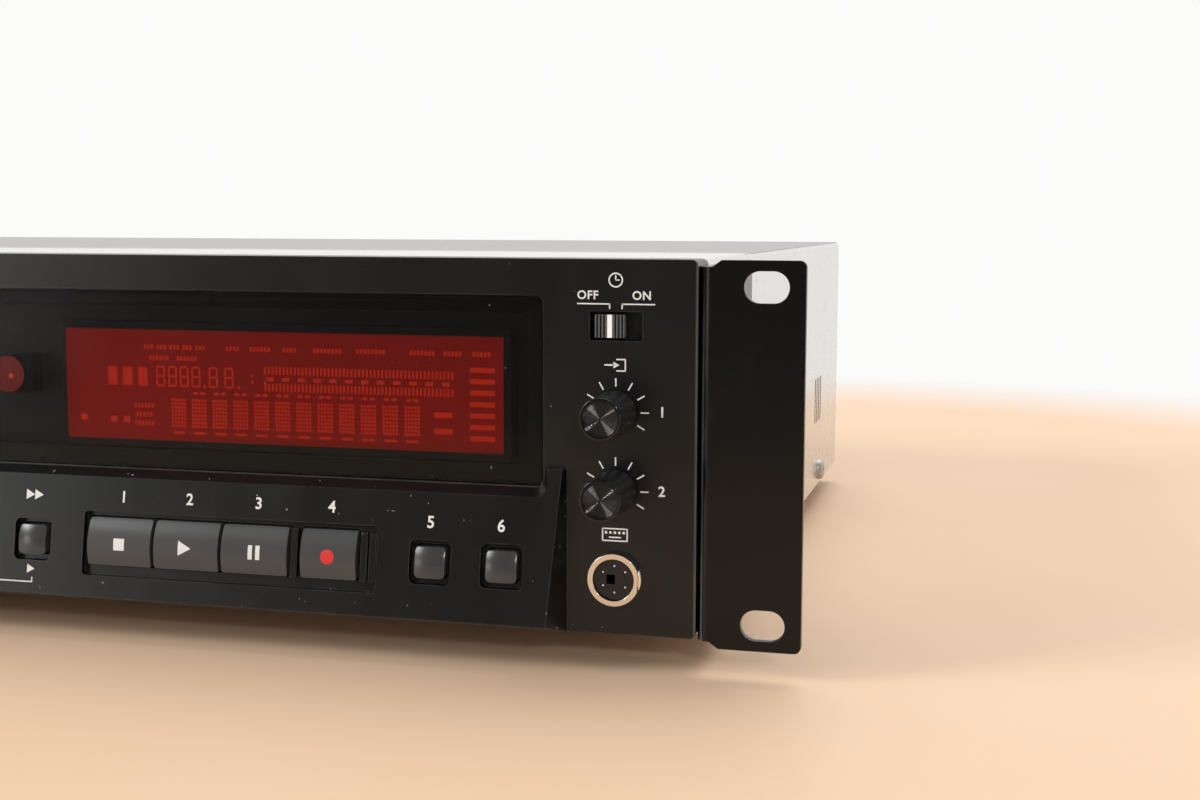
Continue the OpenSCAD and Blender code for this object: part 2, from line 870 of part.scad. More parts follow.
// A rack whose teeth point to -X, with a gap level with the gear's axis
module rack(pitch_x, gear_at, m, first, last, back, z0, z1) {
    step = PI * m;
    half = (step - backlash) / 4;
    tip = half - addendum * m * tan(20);
    foot = half + dedendum * m * tan(20);
    from = ceil((first + foot - gear_at) / step - 0.5);
    to = floor((last - foot - gear_at) / step - 0.5);
    translate([0, 0, z0]) linear_extrude(z1 - z0) {
        translate([pitch_x + dedendum * m, first]) square([back, last - first]);
        for (k = [from:to]) translate([pitch_x, gear_at + (k + 0.5) * step])
            polygon([[dedendum * m + 0.1, -foot], [-addendum * m, -tip], [-addendum * m, tip],
                [dedendum * m + 0.1, foot]]);
    }
}

// A pulley with a groove for the belt between two rims
module pulley(x, y, r, bore) {
    rim_h = 0.9;
    groove = belt_t + 0.6;
    difference() {
        union() {
            pin_z(x, y, r, belt_z - groove / 2 - rim_h, belt_z + groove / 2 + rim_h);
            pin_z(x, y, r + belt_t + 0.2, belt_z - groove / 2 - rim_h, belt_z - groove / 2);
            pin_z(x, y, r + belt_t + 0.2, belt_z + groove / 2, belt_z + groove / 2 + rim_h);
        }
        pin_z(x, y, bore, belt_z - 5, belt_z + 5);
    }
}

// The disc tray: two stepped pockets, a slot open to the rear, side runners and the rack below
module disc_tray() {
    small_floor = tray_z + 1.2;
    rib_z = tray_z - 3;
    placed() color("#242526") difference() {
        union() {
            block([drive_x - tray_half, tray_front, tray_z],
                [drive_x + tray_half, tray_back, tray_z + tray_t]);
            rack(rack_x, gear_y, rack_module, tray_front + 22, tray_back, 2.4,
                tray_z - rack_h, tray_z + 0.1);
            block([drive_x - tray_half + 18, tray_front + 22, rib_z],
                [drive_x - tray_half + 20, tray_back, tray_z + 0.1]);
        }
        pin_z(drive_x, disc_y, disc_r + disc_play, pocket_floor, tray_z + tray_t + cut);
        pin_z(drive_x, disc_y, small_disc_r, small_floor, tray_z + tray_t + cut);
        pin_z(drive_x, disc_y, hub_slot, tray_z - cut, tray_z + tray_t + cut);
        block([drive_x - hub_slot, disc_y, tray_z - cut],
            [drive_x + hub_slot, tray_back + cut, tray_z + tray_t + cut]);
        for (side = [-1, 1]) translate([drive_x + side * (hub_slot + tray_half) / 2, tray_back - 15, 0])
            block([-20, -10, pocket_floor], [20, 11, tray_z + tray_t + cut]);
    }
}

module tray_gear() {
    placed() color("#e8e6dc") {
        gear(gear_x, gear_y, frame_low + 10.5, frame_low + 15.2, gear_module, big_gear_teeth,
            post_r + fit);
        gear(gear_x, gear_y, frame_low + 15, tray_z - 0.5, rack_module, rack_gear_teeth, post_r + fit);
    }
}

module pulley_gear() {
    placed() color("#e8e6dc") {
        pulley(pulley_x, gear_y, pulley_r, pulley_post_r + fit);
        gear(pulley_x, gear_y, belt_z + 1.7, frame_low + 15, gear_module, pinion_teeth,
            pulley_post_r + fit, 180 / pinion_teeth);
    }
}

module motor_pulley() {
    placed() color("#e8e6dc") pulley(motor_x, gear_y, motor_pulley_r, 1 + fit);
}

// Small can motor that hangs under the drive's floor, its shaft pointing up through it
module loading_motor() {
    placed() color("#9a9da1") {
        pin_z(motor_x, gear_y, 10, frame_low - 18, frame_low);
        pin_z(motor_x, gear_y, 3, frame_low - 0.2, belt_z - 2.1);
        pin_z(motor_x, gear_y, 1, belt_z - 2.5, belt_z + 2.5);
    }
}

// The belt's band round both pulleys, drawn tight from one groove to the other
module belt_outline(spread) {
    hull() {
        translate([motor_x, 0]) circle(motor_pulley_r + spread);
        translate([pulley_x, 0]) circle(pulley_r + spread);
    }
}

module drive_belt() {
    placed() color("#111111") translate([0, gear_y, belt_z - belt_t / 2]) linear_extrude(belt_t)
        difference() {
            belt_outline(fit + belt_t);
            belt_outline(fit);
        }
}

// The drive's frame: a floor with a well for the traverse, side walls with runners, gear posts
module drive_frame() {
    inner = tray_half + frame_gap;
    bearing_w = 4;
    bearing_gap = 0.4;
    placed() color("#2a2b2d") difference() {
        union() {
            block([drive_x - frame_half, frame_front, frame_low],
                [drive_x + frame_half, frame_back, floor_z]);
            for (side = [-1, 1]) translate([drive_x, 0, 0]) mirror([side > 0 ? 0 : 1, 0, 0]) {
                block([inner, frame_front, frame_low], [frame_half, frame_back, frame_top]);
                block([inner - 6, frame_front, tray_z - 3], [inner + cut, frame_back, tray_z - seat]);
                block([inner - 4, frame_front, tray_z + tray_t + seat],
                    [inner + cut, frame_back - 40, tray_z + tray_t + seat + 2]);
            }
            block([drive_x - frame_half, frame_back - frame_wall, frame_low],
                [drive_x + frame_half, frame_back, tray_z - 6]);
            pin_z(gear_x, gear_y, 4, frame_low, frame_low + 10.2);
            pin_z(gear_x, gear_y, post_r, frame_low, tray_z - 0.8);
            pin_z(pulley_x, gear_y, 3.2, frame_low, belt_z - 2.1);
            pin_z(pulley_x, gear_y, pulley_post_r, frame_low, frame_low + 16);
            for (x = [plate_left - bearing_gap - bearing_w, plate_right + bearing_gap])
                block([drive_x + x, pivot_y - 4, frame_low],
                    [drive_x + x + bearing_w, pivot_y + 4, pivot_z + 4]);
        }
        block([drive_x + plate_left - bearing_gap, plate_front - 2, frame_low - cut],
            [drive_x + plate_right + bearing_gap, plate_back + 2, floor_z + cut]);
        pin_z(motor_x, gear_y, 3.4, frame_low - cut, floor_z + cut);
        translate([drive_x, pivot_y, pivot_z]) rotate([0, 90, 0])
            cylinder(h = 2 * inner - 20, r = pivot_r + fit, center = true);
    }
}

// The traverse: a plate that tips down at the front when the tray runs out, with the rods' seats
module traverse_frame() {
    seat_l = 4;
    placed() color("#6f7276") difference() {
        union() {
            block([drive_x + plate_left, plate_front, plate_z - plate_t],
                [drive_x + plate_right, plate_back, plate_z]);
            for (side = [-1, 1], y = [rod_front - 1, rod_back - seat_l + 1])
                block([drive_x + side * rod_x - 2.6, y, plate_z - 0.2],
                    [drive_x + side * rod_x + 2.6, y + seat_l, rod_z + rod_r + 1]);
            translate([drive_x + (plate_left + plate_right) / 2, pivot_y, pivot_z]) rotate([0, 90, 0])
                cylinder(h = plate_right - plate_left + 8, r = pivot_r, center = true);
            pin_z(drive_x + sled_gear_x, sled_gear_y, 2.6, plate_z - 0.2, sled_z - 0.3);
            pin_z(drive_x + sled_gear_x, sled_gear_y, 1.5, plate_z - 0.2, sled_z + sled_t + 1);
        }
        for (side = [-1, 1]) pin_y(drive_x + side * rod_x, rod_z, rod_r + fit, rod_front, rod_back);
        pin_z(drive_x, disc_y, 3, plate_z - 5, plate_z + 1);
        pin_z(drive_x + sled_gear_x, sled_pinion_y, 2, plate_z - 5, plate_z + 1);
        block([drive_x - rod_x + 5, pickup_front - 2, plate_z - 5],
            [drive_x + rod_x - 5, rod_back - 6, plate_z + 1]);
    }
}

// Spindle motor under the turntable and sled motor under its pinion, each with its shaft
module traverse_motors() {
    low = plate_z - plate_t;
    placed() color("#a4a7aa") {
        pin_z(drive_x, disc_y, 13, low - 8.5, low);
        pin_z(drive_x, disc_y, 2.6, low - 1, plate_z + 1);
        pin_z(drive_x, disc_y, 1.1, low - 1, disc_seat + 1);
        pin_z(drive_x + sled_gear_x, sled_pinion_y, 7.6, low - 14, low);
        pin_z(drive_x + sled_gear_x, sled_pinion_y, 1.6, low - 1, sled_z - seat);
        pin_z(drive_x + sled_gear_x, sled_pinion_y, 0.8, low - 1, sled_z + sled_t + 0.6);
    }
}

// The turntable: a hub, a platter with a ring groove and the cone that centres the disc
module turntable() {
    hub_z = plate_z + 1.3;
    placed() color("#d9d7cf") translate([drive_x, disc_y, 0]) rotate_extrude()
        polygon([[1.1 + fit, hub_z], [5, hub_z], [5, disc_seat - 2.6], [14.5, disc_seat - 2.2],
            [14.5, disc_seat], [9.4, disc_seat], [9.4, disc_seat - 0.6], [7.4, disc_seat - 0.6],
            [7.4, disc_seat + 0.8], [5.6, disc_seat + 2], [1.1 + fit, disc_seat + 2]]);
}

// The magnetic puck that hangs in the bridge above the turntable
module clamp_puck() {
    low = disc_seat + 0.3;
    high = frame_top + bridge_t;
    placed() color("#1d1d1d") translate([drive_x, disc_y, 0]) rotate_extrude()
        polygon([[0, low + 2.6], [8.2, low + 2.6], [8.2, low], [14, low], [14, low + 4.4],
            [9, low + 4.4], [9, high + 0.3], [13, high + 0.3], [13, high + 1.8], [0, high + 1.8]]);
}

module clamp_bridge() {
    placed() color("#b9bcbe") difference() {
        block([drive_x - frame_half, disc_y - 16, frame_top],
            [drive_x + frame_half, disc_y + 16, frame_top + bridge_t]);
        pin_z(drive_x, disc_y, bridge_hole, frame_top - cut, frame_top + bridge_t + cut);
        for (side = [-1, 1]) pin_z(drive_x + side * (frame_half - 20), disc_y, 8,
            frame_top - cut, frame_top + bridge_t + cut);
    }
}

module guide_rods() {
    placed() color("#c8cbce")
        for (side = [-1, 1]) pin_y(drive_x + side * rod_x, rod_z, rod_r, rod_front, rod_back);
}

// The laser pickup on its two rods, with the lens in a round holder and the rack on its left
module optical_pickup() {
    body_z = plate_z + 1;
    placed() color("#3d4145") difference() {
        union() {
            block([drive_x - rod_x - 3, pickup_front, body_z],
                [drive_x + rod_x + 3, pickup_front + pickup_l, tray_z - 2.4]);
            block([drive_x - 9, pickup_front, tray_z - 3], [drive_x + 9, pickup_front + 14, tray_z - 0.6]);
            pin_z(drive_x, lens_y, 3.6, tray_z - 3, pocket_floor - 1);
            block([drive_x + sled_rack_x + 3.2, pickup_front, sled_z],
                [drive_x - rod_x - 1, pickup_front + pickup_l, sled_z + sled_t]);
            rack(drive_x + sled_rack_x, sled_gear_y, gear_module, sled_gear_y - sled_travel - 3,
                sled_gear_y + 4, 2.6, sled_z, sled_z + sled_t);
        }
        for (side = [-1, 1]) pin_y(drive_x + side * rod_x, rod_z, rod_r + fit,
            pickup_front - cut, pickup_front + pickup_l + cut);
    }
}

module sled_gear() {
    placed() color("#e8e6dc") gear(drive_x + sled_gear_x, sled_gear_y, sled_z, sled_z + sled_t,
        gear_module, sled_teeth, 1.5 + fit);
}

module sled_pinion() {
    placed() color("#e8e6dc") gear(drive_x + sled_gear_x, sled_pinion_y, sled_z, sled_z + sled_t,
        gear_module, sled_pinion_teeth, 0.8 + fit);
}

// Bottom tray of the case: plate, side flanges, front wall with the drive's opening, standoffs
module chassis_base() {
    half = case_inner - side_gap;
    wall_half = console_half - 4;
    flange_h = 12;
    placed() color("#c4c7c8") difference() {
        union() {
            block([-half, front_wall_y, 0], [half, case_d - sheet_t, sheet_t]);
            for (side = [0, 1]) mirror([side, 0, 0])
                block([half - sheet_t, front_wall_y, 0], [half, case_d - sheet_t, flange_h]);
            block([-wall_half, front_wall_y, 0], [wall_half, front_wall_y + sheet_t, board_top]);
            for (side = [-1, 1], y = [frame_front + 6, frame_back - 6])
                pin_z(drive_x + side * (frame_half - 6), y, 4, 0, frame_low);
            for (x = [main_left + pcb_corner, main_right - pcb_corner],
                y = [main_front + pcb_corner, main_back - pcb_corner]) pin_z(x, y, 3, 0, pcb_z);
            for (x = [supply_left + pcb_corner, supply_right - pcb_corner],
                y = [supply_front + pcb_corner, supply_back - pcb_corner]) pin_z(x, y, 3, 0, pcb_z);
        }
        block([drive_x - door_w / 2 - 1, front_wall_y - cut, frame_low - 1],
            [drive_x + door_w / 2 + 1, front_wall_y + 2 * cut, door_z + door_h / 2 + 2]);
        block([ribbon_x - ribbon_w / 2 - 2, front_wall_y - cut, ribbon_z - 3],
            [ribbon_x + ribbon_w / 2 + 2, front_wall_y + 2 * cut, ribbon_z + 3]);
        for (x = [-foot_x, foot_x], y = foot_y) pin_z(x, y, screw_hole, -cut, sheet_t + cut);
        for (n = [0:8]) translate([main_left + base_vent_in + n * base_vent_pitch, base_vent_y, -cut])
            cube([base_vent_w, base_vent_l, sheet_t + 2 * cut]);
        for (side = [0, 1], y = cover_screw_y) mirror([side, 0, 0])
            translate([half - 2 * sheet_t, y, cover_screw_z]) rotate([0, 90, 0])
            cylinder(h = 3 * sheet_t, r = screw_hole);
    }
}

// Folded cover: top and both sides in one sheet, with cooling slots and screw holes
module top_cover() {
    low = sheet_t + 0.2;
    middle = (case_h + low) / 2;
    span = case_h - low;
    placed() color("#dfe1e2") difference() {
        slab(front_wall_y, case_d) difference() {
            union() {
                rounded(0, middle, case_w, span, fold_r);
                translate([-half_w, low]) square([case_w, span / 2]);
            }
            rounded(0, middle, case_w - 2 * sheet_t, span - 2 * sheet_t, fold_r - sheet_t);
            translate([sheet_t - half_w, low - cut]) square([case_w - 2 * sheet_t, span / 2]);
        }
        for (n = [0:vent_count - 1])
            translate([0, vent_y + (n - (vent_count - 1) / 2) * vent_pitch, vent_z])
            cube([case_w + 2 * cut, vent_w, vent_h], center = true);
        for (y = cover_screw_y) translate([0, y, cover_screw_z]) rotate([0, 90, 0])
            cylinder(h = case_w + 2 * cut, r = screw_hole, center = true);
        for (z = ear_screw_z) translate([0, ear_screw_y, z]) rotate([0, 90, 0])
            cylinder(h = case_w + 2 * cut, r = screw_hole, center = true);
    }
}

module rear_panel() {
    half = case_inner - side_gap;
    top = case_h - sheet_t - side_gap;
    placed() color("#2c2d2f") difference() {
        slab(case_d - sheet_t, case_d) union() {
            rounded(0, top / 2, 2 * half, top, fold_r - sheet_t);
            translate([-half, 0]) square([2 * half, top / 2]);
        }
        slab(case_d - 3, case_d + cut) {
            rounded(inlet_x, inlet_z, inlet_w + 4.6, inlet_h + 4.6, 1);
            for (x = phono_x, z = phono_z) translate([x, z]) circle(barrel_r + collar_t + 0.25);
            for (x = optical_x) rounded(x, optical_z, optical_w + 0.4, optical_w + 0.4, 0.5);
            for (n = [0:5]) rounded(drive_x - 55 + n * 7, case_h - 28.1, 3, 26, 1);
        }
    }
}

// One ear: a plate with two slots, folded back into a flange that lies on the side of the case
module rack_ear() {
    front = 0.3;
    relief = 1.5;
    corner = 3;
    outer = rack_w / 2;
    tall = case_h + 2 * corner;
    placed() color("#141414") difference() {
        union() {
            intersection() {
                block([half_w + ear_fold_r, front, 0], [outer, front + ear_t, case_h]);
                slab(front - cut, front + ear_t + cut)
                    rounded(outer - tall / 2, case_h / 2, tall, case_h, corner);
            }
            translate([0, 0, relief]) linear_extrude(case_h - 2 * relief) {
                translate([half_w, front + ear_fold_r]) square([ear_t, ear_depth - ear_fold_r]);
                intersection() {
                    translate([half_w, front]) square([ear_fold_r, ear_fold_r]);
                    translate([half_w + ear_fold_r, front + ear_fold_r]) difference() {
                        circle(ear_fold_r);
                        circle(ear_fold_r - ear_t);
                    }
                }
            }
        }
        for (z = [case_h / 2 - slot_rise / 2, case_h / 2 + slot_rise / 2])
            slab(front - cut, front + ear_t + cut) {
                translate([slot_span / 2, z]) square([slot_l - slot_h, slot_h], center = true);
                for (side = [-1, 1])
                    translate([slot_span / 2 + side * (slot_l - slot_h) / 2, z]) circle(slot_h / 2);
            }
        for (z = ear_screw_z) translate([half_w - cut, ear_screw_y, z]) rotate([0, 90, 0])
            cylinder(h = ear_t + 2 * cut, r = screw_hole);
    }
}

module rack_ear_right() {
    rack_ear();
}

module rack_ear_left() {
    mirror([1, 0, 0]) rack_ear();
}

module rubber_feet() {
    placed() color("#181818") for (x = [-foot_x, foot_x], y = foot_y) translate([x, y, -foot_h])
        difference() {
            cylinder(h = foot_h, r1 = foot_r - 1.5, r2 = foot_r);
            translate([0, 0, -cut]) cylinder(h = foot_h - 2 + cut, r = head_r + 1);
            cylinder(h = foot_h + cut, r = screw_hole);
        }
}

// A pan-head screw along +X: the head outside, the shank going inwards
module side_screw(x, y, z, l) {
    translate([x, y, z]) rotate([0, 90, 0]) difference() {
        union() {
            cylinder(h = head_t - 0.6, r = head_r);
            translate([0, 0, head_t - 0.6 - 0.01]) cylinder(h = 0.61, r1 = head_r, r2 = head_r - 0.8);
            translate([0, 0, -l]) cylinder(h = l + 0.1, r = screw_r);
        }
        cross_recess();
    }
}

module cross_recess() {
    for (turn = [0, 90]) rotate([0, 0, turn]) translate([0, 0, head_t]) cube([3.4, 0.9, 2], center = true);
}

module case_screws() {
    placed() color("#2b2b2b") {
        for (side = [0, 1]) mirror([side, 0, 0]) {
            for (z = ear_screw_z) side_screw(half_w + ear_t, ear_screw_y, z, 6);
            for (y = cover_screw_y) side_screw(half_w, y, cover_screw_z, 5);
        }
        for (x = [-foot_x, foot_x], y = foot_y) translate([x, y, -2]) rotate([180, 0, 0]) difference() {
            union() {
                cylinder(h = head_t, r = head_r);
                translate([0, 0, -6]) cylinder(h = 6.1, r = screw_r);
            }
            cross_recess();
        }
    }
}

module main_board() {
    chip_h = 2.4;
    socket_h = 6;
    chips = [[48, 70, 20], [98, 90, 26], [148, 70, 16], [98, 150, 18]];
    placed() color("#1f5a35") {
        block([main_left, main_front, pcb_z], [main_right, main_back, pcb_top]);
        block([ribbon_x - ribbon_w / 2 - 2, ribbon_land - 3, pcb_z],
            [ribbon_x + ribbon_w / 2 + 2, ribbon_land + 3, pcb_top + socket_h]);
        translate([main_left, main_front, 0]) {
            for (c = chips) block([c[0], c[1], pcb_z], [c[0] + c[2], c[1] + c[2], pcb_top + chip_h]);
            for (n = [0:4]) pin_z(148 + n % 2 * 12, 120 + n * 12, 4, pcb_z, pcb_top + 12);
        }
    }
}

module power_board() {
    placed() color("#7a5a28") {
        block([supply_left, supply_front, pcb_z], [supply_right, supply_back, pcb_top]);
        for (side = [1, 3]) pin_z(supply_left + side * supply_w / 4, cap_y, cap_r, pcb_z, pcb_z + 30);
    }
}

// Mains transformer: a laminated core with the winding's bobbin round its middle
module transformer() {
    middle = (supply_left + supply_right) / 2;
    core_front = bobbin_front + bobbin_over;
    bobbin_w = core_w - 2 * bobbin_over;
    flange = 4;
    placed() color("#8d7b50") {
        block([middle - core_w / 2, core_front, pcb_top],
            [middle + core_w / 2, core_front + core_l, pcb_top + core_h]);
        block([middle - bobbin_w / 2, bobbin_front, pcb_top + flange],
            [middle + bobbin_w / 2, bobbin_end, pcb_top + core_h - flange]);
    }
}

module heat_sink() {
    plate_x = supply_right - 9;
    fin_l = 14;
    placed() color("#35383a") {
        block([plate_x, sink_front, pcb_top], [plate_x + 3, sink_front + sink_l, pcb_top + sink_h]);
        for (n = [0:6]) block([plate_x + 1 - fin_l, sink_front + 2 + n * fin_pitch, pcb_top],
            [plate_x + 1, sink_front + 2 + fin_t + n * fin_pitch, pcb_top + sink_h]);
    }
}

// Mains inlet with its recess and three contact pins
module ac_inlet() {
    flange = 3.5;
    back = case_d + 2;
    wall = 2;
    recess = inlet_depth - 4;
    placed() color("#161616") {
        difference() {
            union() {
                slab(case_d, back) rounded(inlet_x, inlet_z, inlet_w + 2 * flange, inlet_h + 2 * flange, 2);
                slab(back - inlet_depth, back)
                    rounded(inlet_x, inlet_z, inlet_w + 2 * wall, inlet_h + 2 * wall, 1);
            }
            slab(back - recess, back + cut) rounded(inlet_x, inlet_z, inlet_w, inlet_h, 2);
        }
        for (spot = [[-7, 1], [0, 4.5], [7, 1]])
            slab(back - inlet_depth + 2, back - 2) translate([inlet_x + spot[0], inlet_z + spot[1]])
                square([2, 4], center = true);
    }
}

// Six phono sockets: a block on the board for each pair, a collar in the panel and a barrel for each
module phono_sockets() {
    front = case_d - phono_depth;
    back = case_d + barrel_l;
    top = phono_z[1] + phono_block / 2;
    placed() color("#d8b45a") difference() {
        union() for (x = phono_x) {
            block([x - phono_block / 2, front, pcb_top],
                [x + phono_block / 2, case_d - sheet_t - side_gap, top]);
            for (z = phono_z) {
                pin_y(x, z, barrel_r + collar_t, front + 2, case_d - 0.4);
                pin_y(x, z, barrel_r, front + 2, back);
            }
        }
        for (x = phono_x, z = phono_z) pin_y(x, z, 1.6, back - 10, back + cut);
    }
}

module optical_sockets() {
    front = case_d - 18;
    wall = 1.2;
    placed() color("#1c1c1c") for (x = optical_x) difference() {
        union() {
            slab(front, case_d + 1) rounded(x, optical_z, optical_w, optical_w, 0.4);
            block([x - optical_w / 2, front, pcb_top], [x + optical_w / 2, front + 12, optical_z]);
        }
        slab(case_d - 8, case_d + 2)
            rounded(x, optical_z, optical_w - 2 * wall, optical_w - 2 * wall, 0.4);
    }
}

// Flat ribbon from the front board, through the front wall and down to its socket on the main board
module ribbon_cable() {
    t = 0.8;
    from = board_y + board_t;
    bend = 30;
    low = pcb_top + 6;
    placed() color("#c9c9c4") translate([ribbon_x, 0, 0]) bar(ribbon_w)
        polygon([[from, ribbon_z - t / 2], [bend, ribbon_z - t / 2], [ribbon_land - t / 2, bend + 8],
            [ribbon_land - t / 2, low], [ribbon_land + t / 2, low], [ribbon_land + t / 2, bend + 8.3],
            [bend + 0.4, ribbon_z + t / 2], [from, ribbon_z + t / 2]]);
}

front_bezel();
display_window();
display_filter();
display_tube();
remote_sensor();
front_board();
board_switches();
level_pots();
tray_door();
disc_tray();
tray_gear();
pulley_gear();
motor_pulley();
loading_motor();
drive_belt();
drive_frame();
traverse_frame();
traverse_motors();
turntable();
clamp_puck();
clamp_bridge();
guide_rods();
optical_pickup();
sled_gear();
sled_pinion();
stop_button();
play_button();
pause_button();
record_button();
search_back_button();
search_forward_button();
sync_button();
input_select_button();
menu_button();
display_button();
open_close_button();
power_button();
jog_dial();
phones_knob();
input_knob_left();
input_knob_right();
timer_switch();
keyboard_socket();
keyboard_insert();
phones_jack();
chassis_base();
top_cover();
rear_panel();
rack_ear_left();
rack_ear_right();
rubber_feet();
case_screws();
main_board();
power_board();
transformer();
ac_inlet();
phono_sockets();
optical_sockets();
ribbon_cable();
heat_sink();
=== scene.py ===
# %% [markdown]
# # A disc recorder for the rack, from its solids to its finish
#
# The real object is a recorder two rack units high: a folded steel case with a moulded black front,
# a smoked display window, crowned transport keys on a raised console, two level knobs and a
# folded ear on each side. The packed CAD model brings every solid at its real place, inside
# the case too. This notebook adds what a solid model leaves out: small radii on the edges that
# catch the light, printed marks, the tube behind the window, spun knob faces and a worked-out
# finish for every surface. It is written to be read from top to bottom.

import json
import math

import bmesh
import bpy
import numpy as np
from mathutils import Matrix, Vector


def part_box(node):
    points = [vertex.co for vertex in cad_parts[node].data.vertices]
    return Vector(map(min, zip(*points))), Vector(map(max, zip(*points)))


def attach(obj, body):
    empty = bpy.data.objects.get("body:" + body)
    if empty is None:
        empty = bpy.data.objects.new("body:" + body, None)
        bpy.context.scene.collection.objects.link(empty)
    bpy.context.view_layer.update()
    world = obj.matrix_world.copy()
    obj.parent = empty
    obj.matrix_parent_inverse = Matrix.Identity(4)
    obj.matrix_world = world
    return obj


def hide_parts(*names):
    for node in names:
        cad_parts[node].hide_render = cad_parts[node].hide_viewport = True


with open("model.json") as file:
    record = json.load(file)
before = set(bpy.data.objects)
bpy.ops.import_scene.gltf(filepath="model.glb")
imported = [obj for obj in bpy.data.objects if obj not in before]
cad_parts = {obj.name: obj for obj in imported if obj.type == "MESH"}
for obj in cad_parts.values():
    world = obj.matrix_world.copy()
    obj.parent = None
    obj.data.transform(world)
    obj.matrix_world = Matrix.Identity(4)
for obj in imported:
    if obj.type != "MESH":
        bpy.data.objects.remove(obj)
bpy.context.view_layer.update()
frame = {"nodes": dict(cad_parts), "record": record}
BODY_OF = {node: body for body, nodes in frame["record"]["behaviour"]["bodies"].items() for node in nodes}
SLOT_OF = {part["node"]: part["material_slot"] for part in frame["record"]["subparts"]}

# %% [markdown]
# ## Places
#
# All measures on the front are easiest to read in millimetres from three fixed things: the
# middle of the case, the outer face of the bezel, and the underside of the case. The frame
# says where those are, so one small function turns such millimetres into the frame's metres,
# and another reads a node's box the same way.

# %% Measures from the bezel's face and the case's underside
MM = 0.001
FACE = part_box("display_window")[0].y
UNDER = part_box("chassis_base")[0].z
BEZEL_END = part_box("front_bezel")[1].x


def place(points):
    """Rows of x, y, z in millimetres, as metres in the frame: each times 0.001, then moved to the bezel's
    face and the case's underside."""
    moved = np.array(points, float) * MM
    moved[..., 1] += FACE
    moved[..., 2] += UNDER
    return moved


def corners(node):
    """The lowest and highest corner of a CAD node, in the same millimetres."""
    origin = np.array([0, FACE, UNDER])
    low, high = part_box(node)
    return (np.array(low) - origin) / MM, (np.array(high) - origin) / MM


def middle(node):
    """The centre of a CAD node's box, in millimetres."""
    return sum(corners(node)) / 2


print("bezel", [np.round(c, 1).tolist() for c in corners("front_bezel")])

# %% [markdown]
# ## Camera
#
# The photograph was taken close to the right end of the front, a little above it. Its place and
# lens were worked out from the ear, whose width, height and slots are a rack standard, so
# the lens and the angles below are a measurement and not a guess. A camera and a lamp both look
# along their own -Z, so one matrix from three directions and a place will serve the lamps too.

# %% Camera
LENS = 48.225
STAND = (0.28611, -0.49112, 0.10418)
YAW = 0.2542
PITCH = 0.1128
ROLL = 0.0024


def added(name, data):
    """A new object at the origin of the scene that carries a mesh, a camera or a lamp."""
    item = bpy.data.objects.new(name, data)
    bpy.context.scene.collection.objects.link(item)
    return item


def looking(stand, right, up, ahead):
    """The matrix whose columns are right, up, backward and the place."""
    matrix = np.eye(4)
    matrix[:3, :3] = np.stack([right, up, -ahead], 1)
    matrix[:3, 3] = stand
    return Matrix(matrix.tolist())


def turned_view(stand, yaw, pitch, roll):
    """Looks along +Y, turned left by yaw and down by pitch; the right axis then leans up by roll."""
    ahead = np.array([-math.sin(yaw) * math.cos(pitch), math.cos(yaw) * math.cos(pitch), -math.sin(pitch)])
    level = np.array([math.cos(yaw), math.sin(yaw), 0])
    right = math.cos(roll) * level + math.sin(roll) * np.cross(level, ahead)
    return looking(stand, right, np.cross(right, ahead), ahead)


camera = added("camera", bpy.data.cameras.new("camera"))
camera.data.lens = LENS
camera.data.sensor_width = 36
camera.data.clip_start = 0.01
camera.matrix_world = turned_view(STAND, YAW, PITCH, ROLL)
bpy.context.scene.camera = camera
bpy.context.scene.view_settings.view_transform = "Standard"
print("camera stands", round(math.dist(STAND, (0.2, FACE, 0.05)), 3), "m from the knobs")

# %% [markdown]
# ## Shader arithmetic
#
# A finish is a few lines of arithmetic on patterns: how much of this colour, where it is
# rough, how deep the grain is. Wiring Math nodes by hand hides that, so a small class wraps a
# socket and gives it Python's operators, each adding its node. A finish then reads as a formula.

# %% A socket with operators
def operator(operation, swapped=False):
    """A Python operator that adds a Math node of that operation."""
    def apply(self, other):
        first, second = (other, self) if swapped else (self, other)
        return self.math(operation, first, second)
    return apply


class Wire:
    """An output of a node. Sums, products and powers of number outputs add a Math node."""

    def __init__(self, nodes, socket):
        self.nodes = nodes
        self.socket = socket
        self.owner = socket.node

    def math(self, operation, first, second=0.0, clamp=False):
        settings = {"operation": operation, "use_clamp": clamp}
        return self.nodes.node("ShaderNodeMath", settings, {0: first, 1: second})

    __add__ = __radd__ = operator("ADD")
    __mul__ = __rmul__ = operator("MULTIPLY")
    __sub__ = operator("SUBTRACT")
    __rsub__ = operator("SUBTRACT", swapped=True)
    __truediv__ = operator("DIVIDE")
    __pow__ = operator("POWER")
    __gt__ = operator("GREATER_THAN")
    __lt__ = operator("LESS_THAN")

    def absolute(self):
        return self.math("ABSOLUTE", self)

    def clamped(self):
        return self.math("ADD", self, 0.0, clamp=True)

    def share_of(self, period):
        """How far the number is through its period, from 0 to 1."""
        sockets = {0: self, 1: period, 2: 0.0}
        return self.nodes.node("ShaderNodeMath", {"operation": "WRAP"}, sockets) / period


print("a wire adds a Math node for each of + - * / ** < >")

# %% Colours as plain numbers
WHITE = (0.965, 0.965, 0.96, 1)


def grey(level, warmth=0.0):
    """A linear colour of that level, a little redder than bluer where warmth is above 0."""
    return (level * (1 + warmth), level, level * (1 - warmth))


def times(colour, factor):
    """A colour with each part multiplied, up to 1."""
    return tuple(min(1, part * factor) for part in colour)


def opaque(colour):
    """Three numbers get an alpha of 1; a wire or four numbers stay as they are."""
    return colour + (1.0,) if isinstance(colour, tuple) and len(colour) == 3 else colour


print("a warm grey is", grey(0.5, 0.1), "and half of it", times(grey(0.5, 0.1), 0.5))

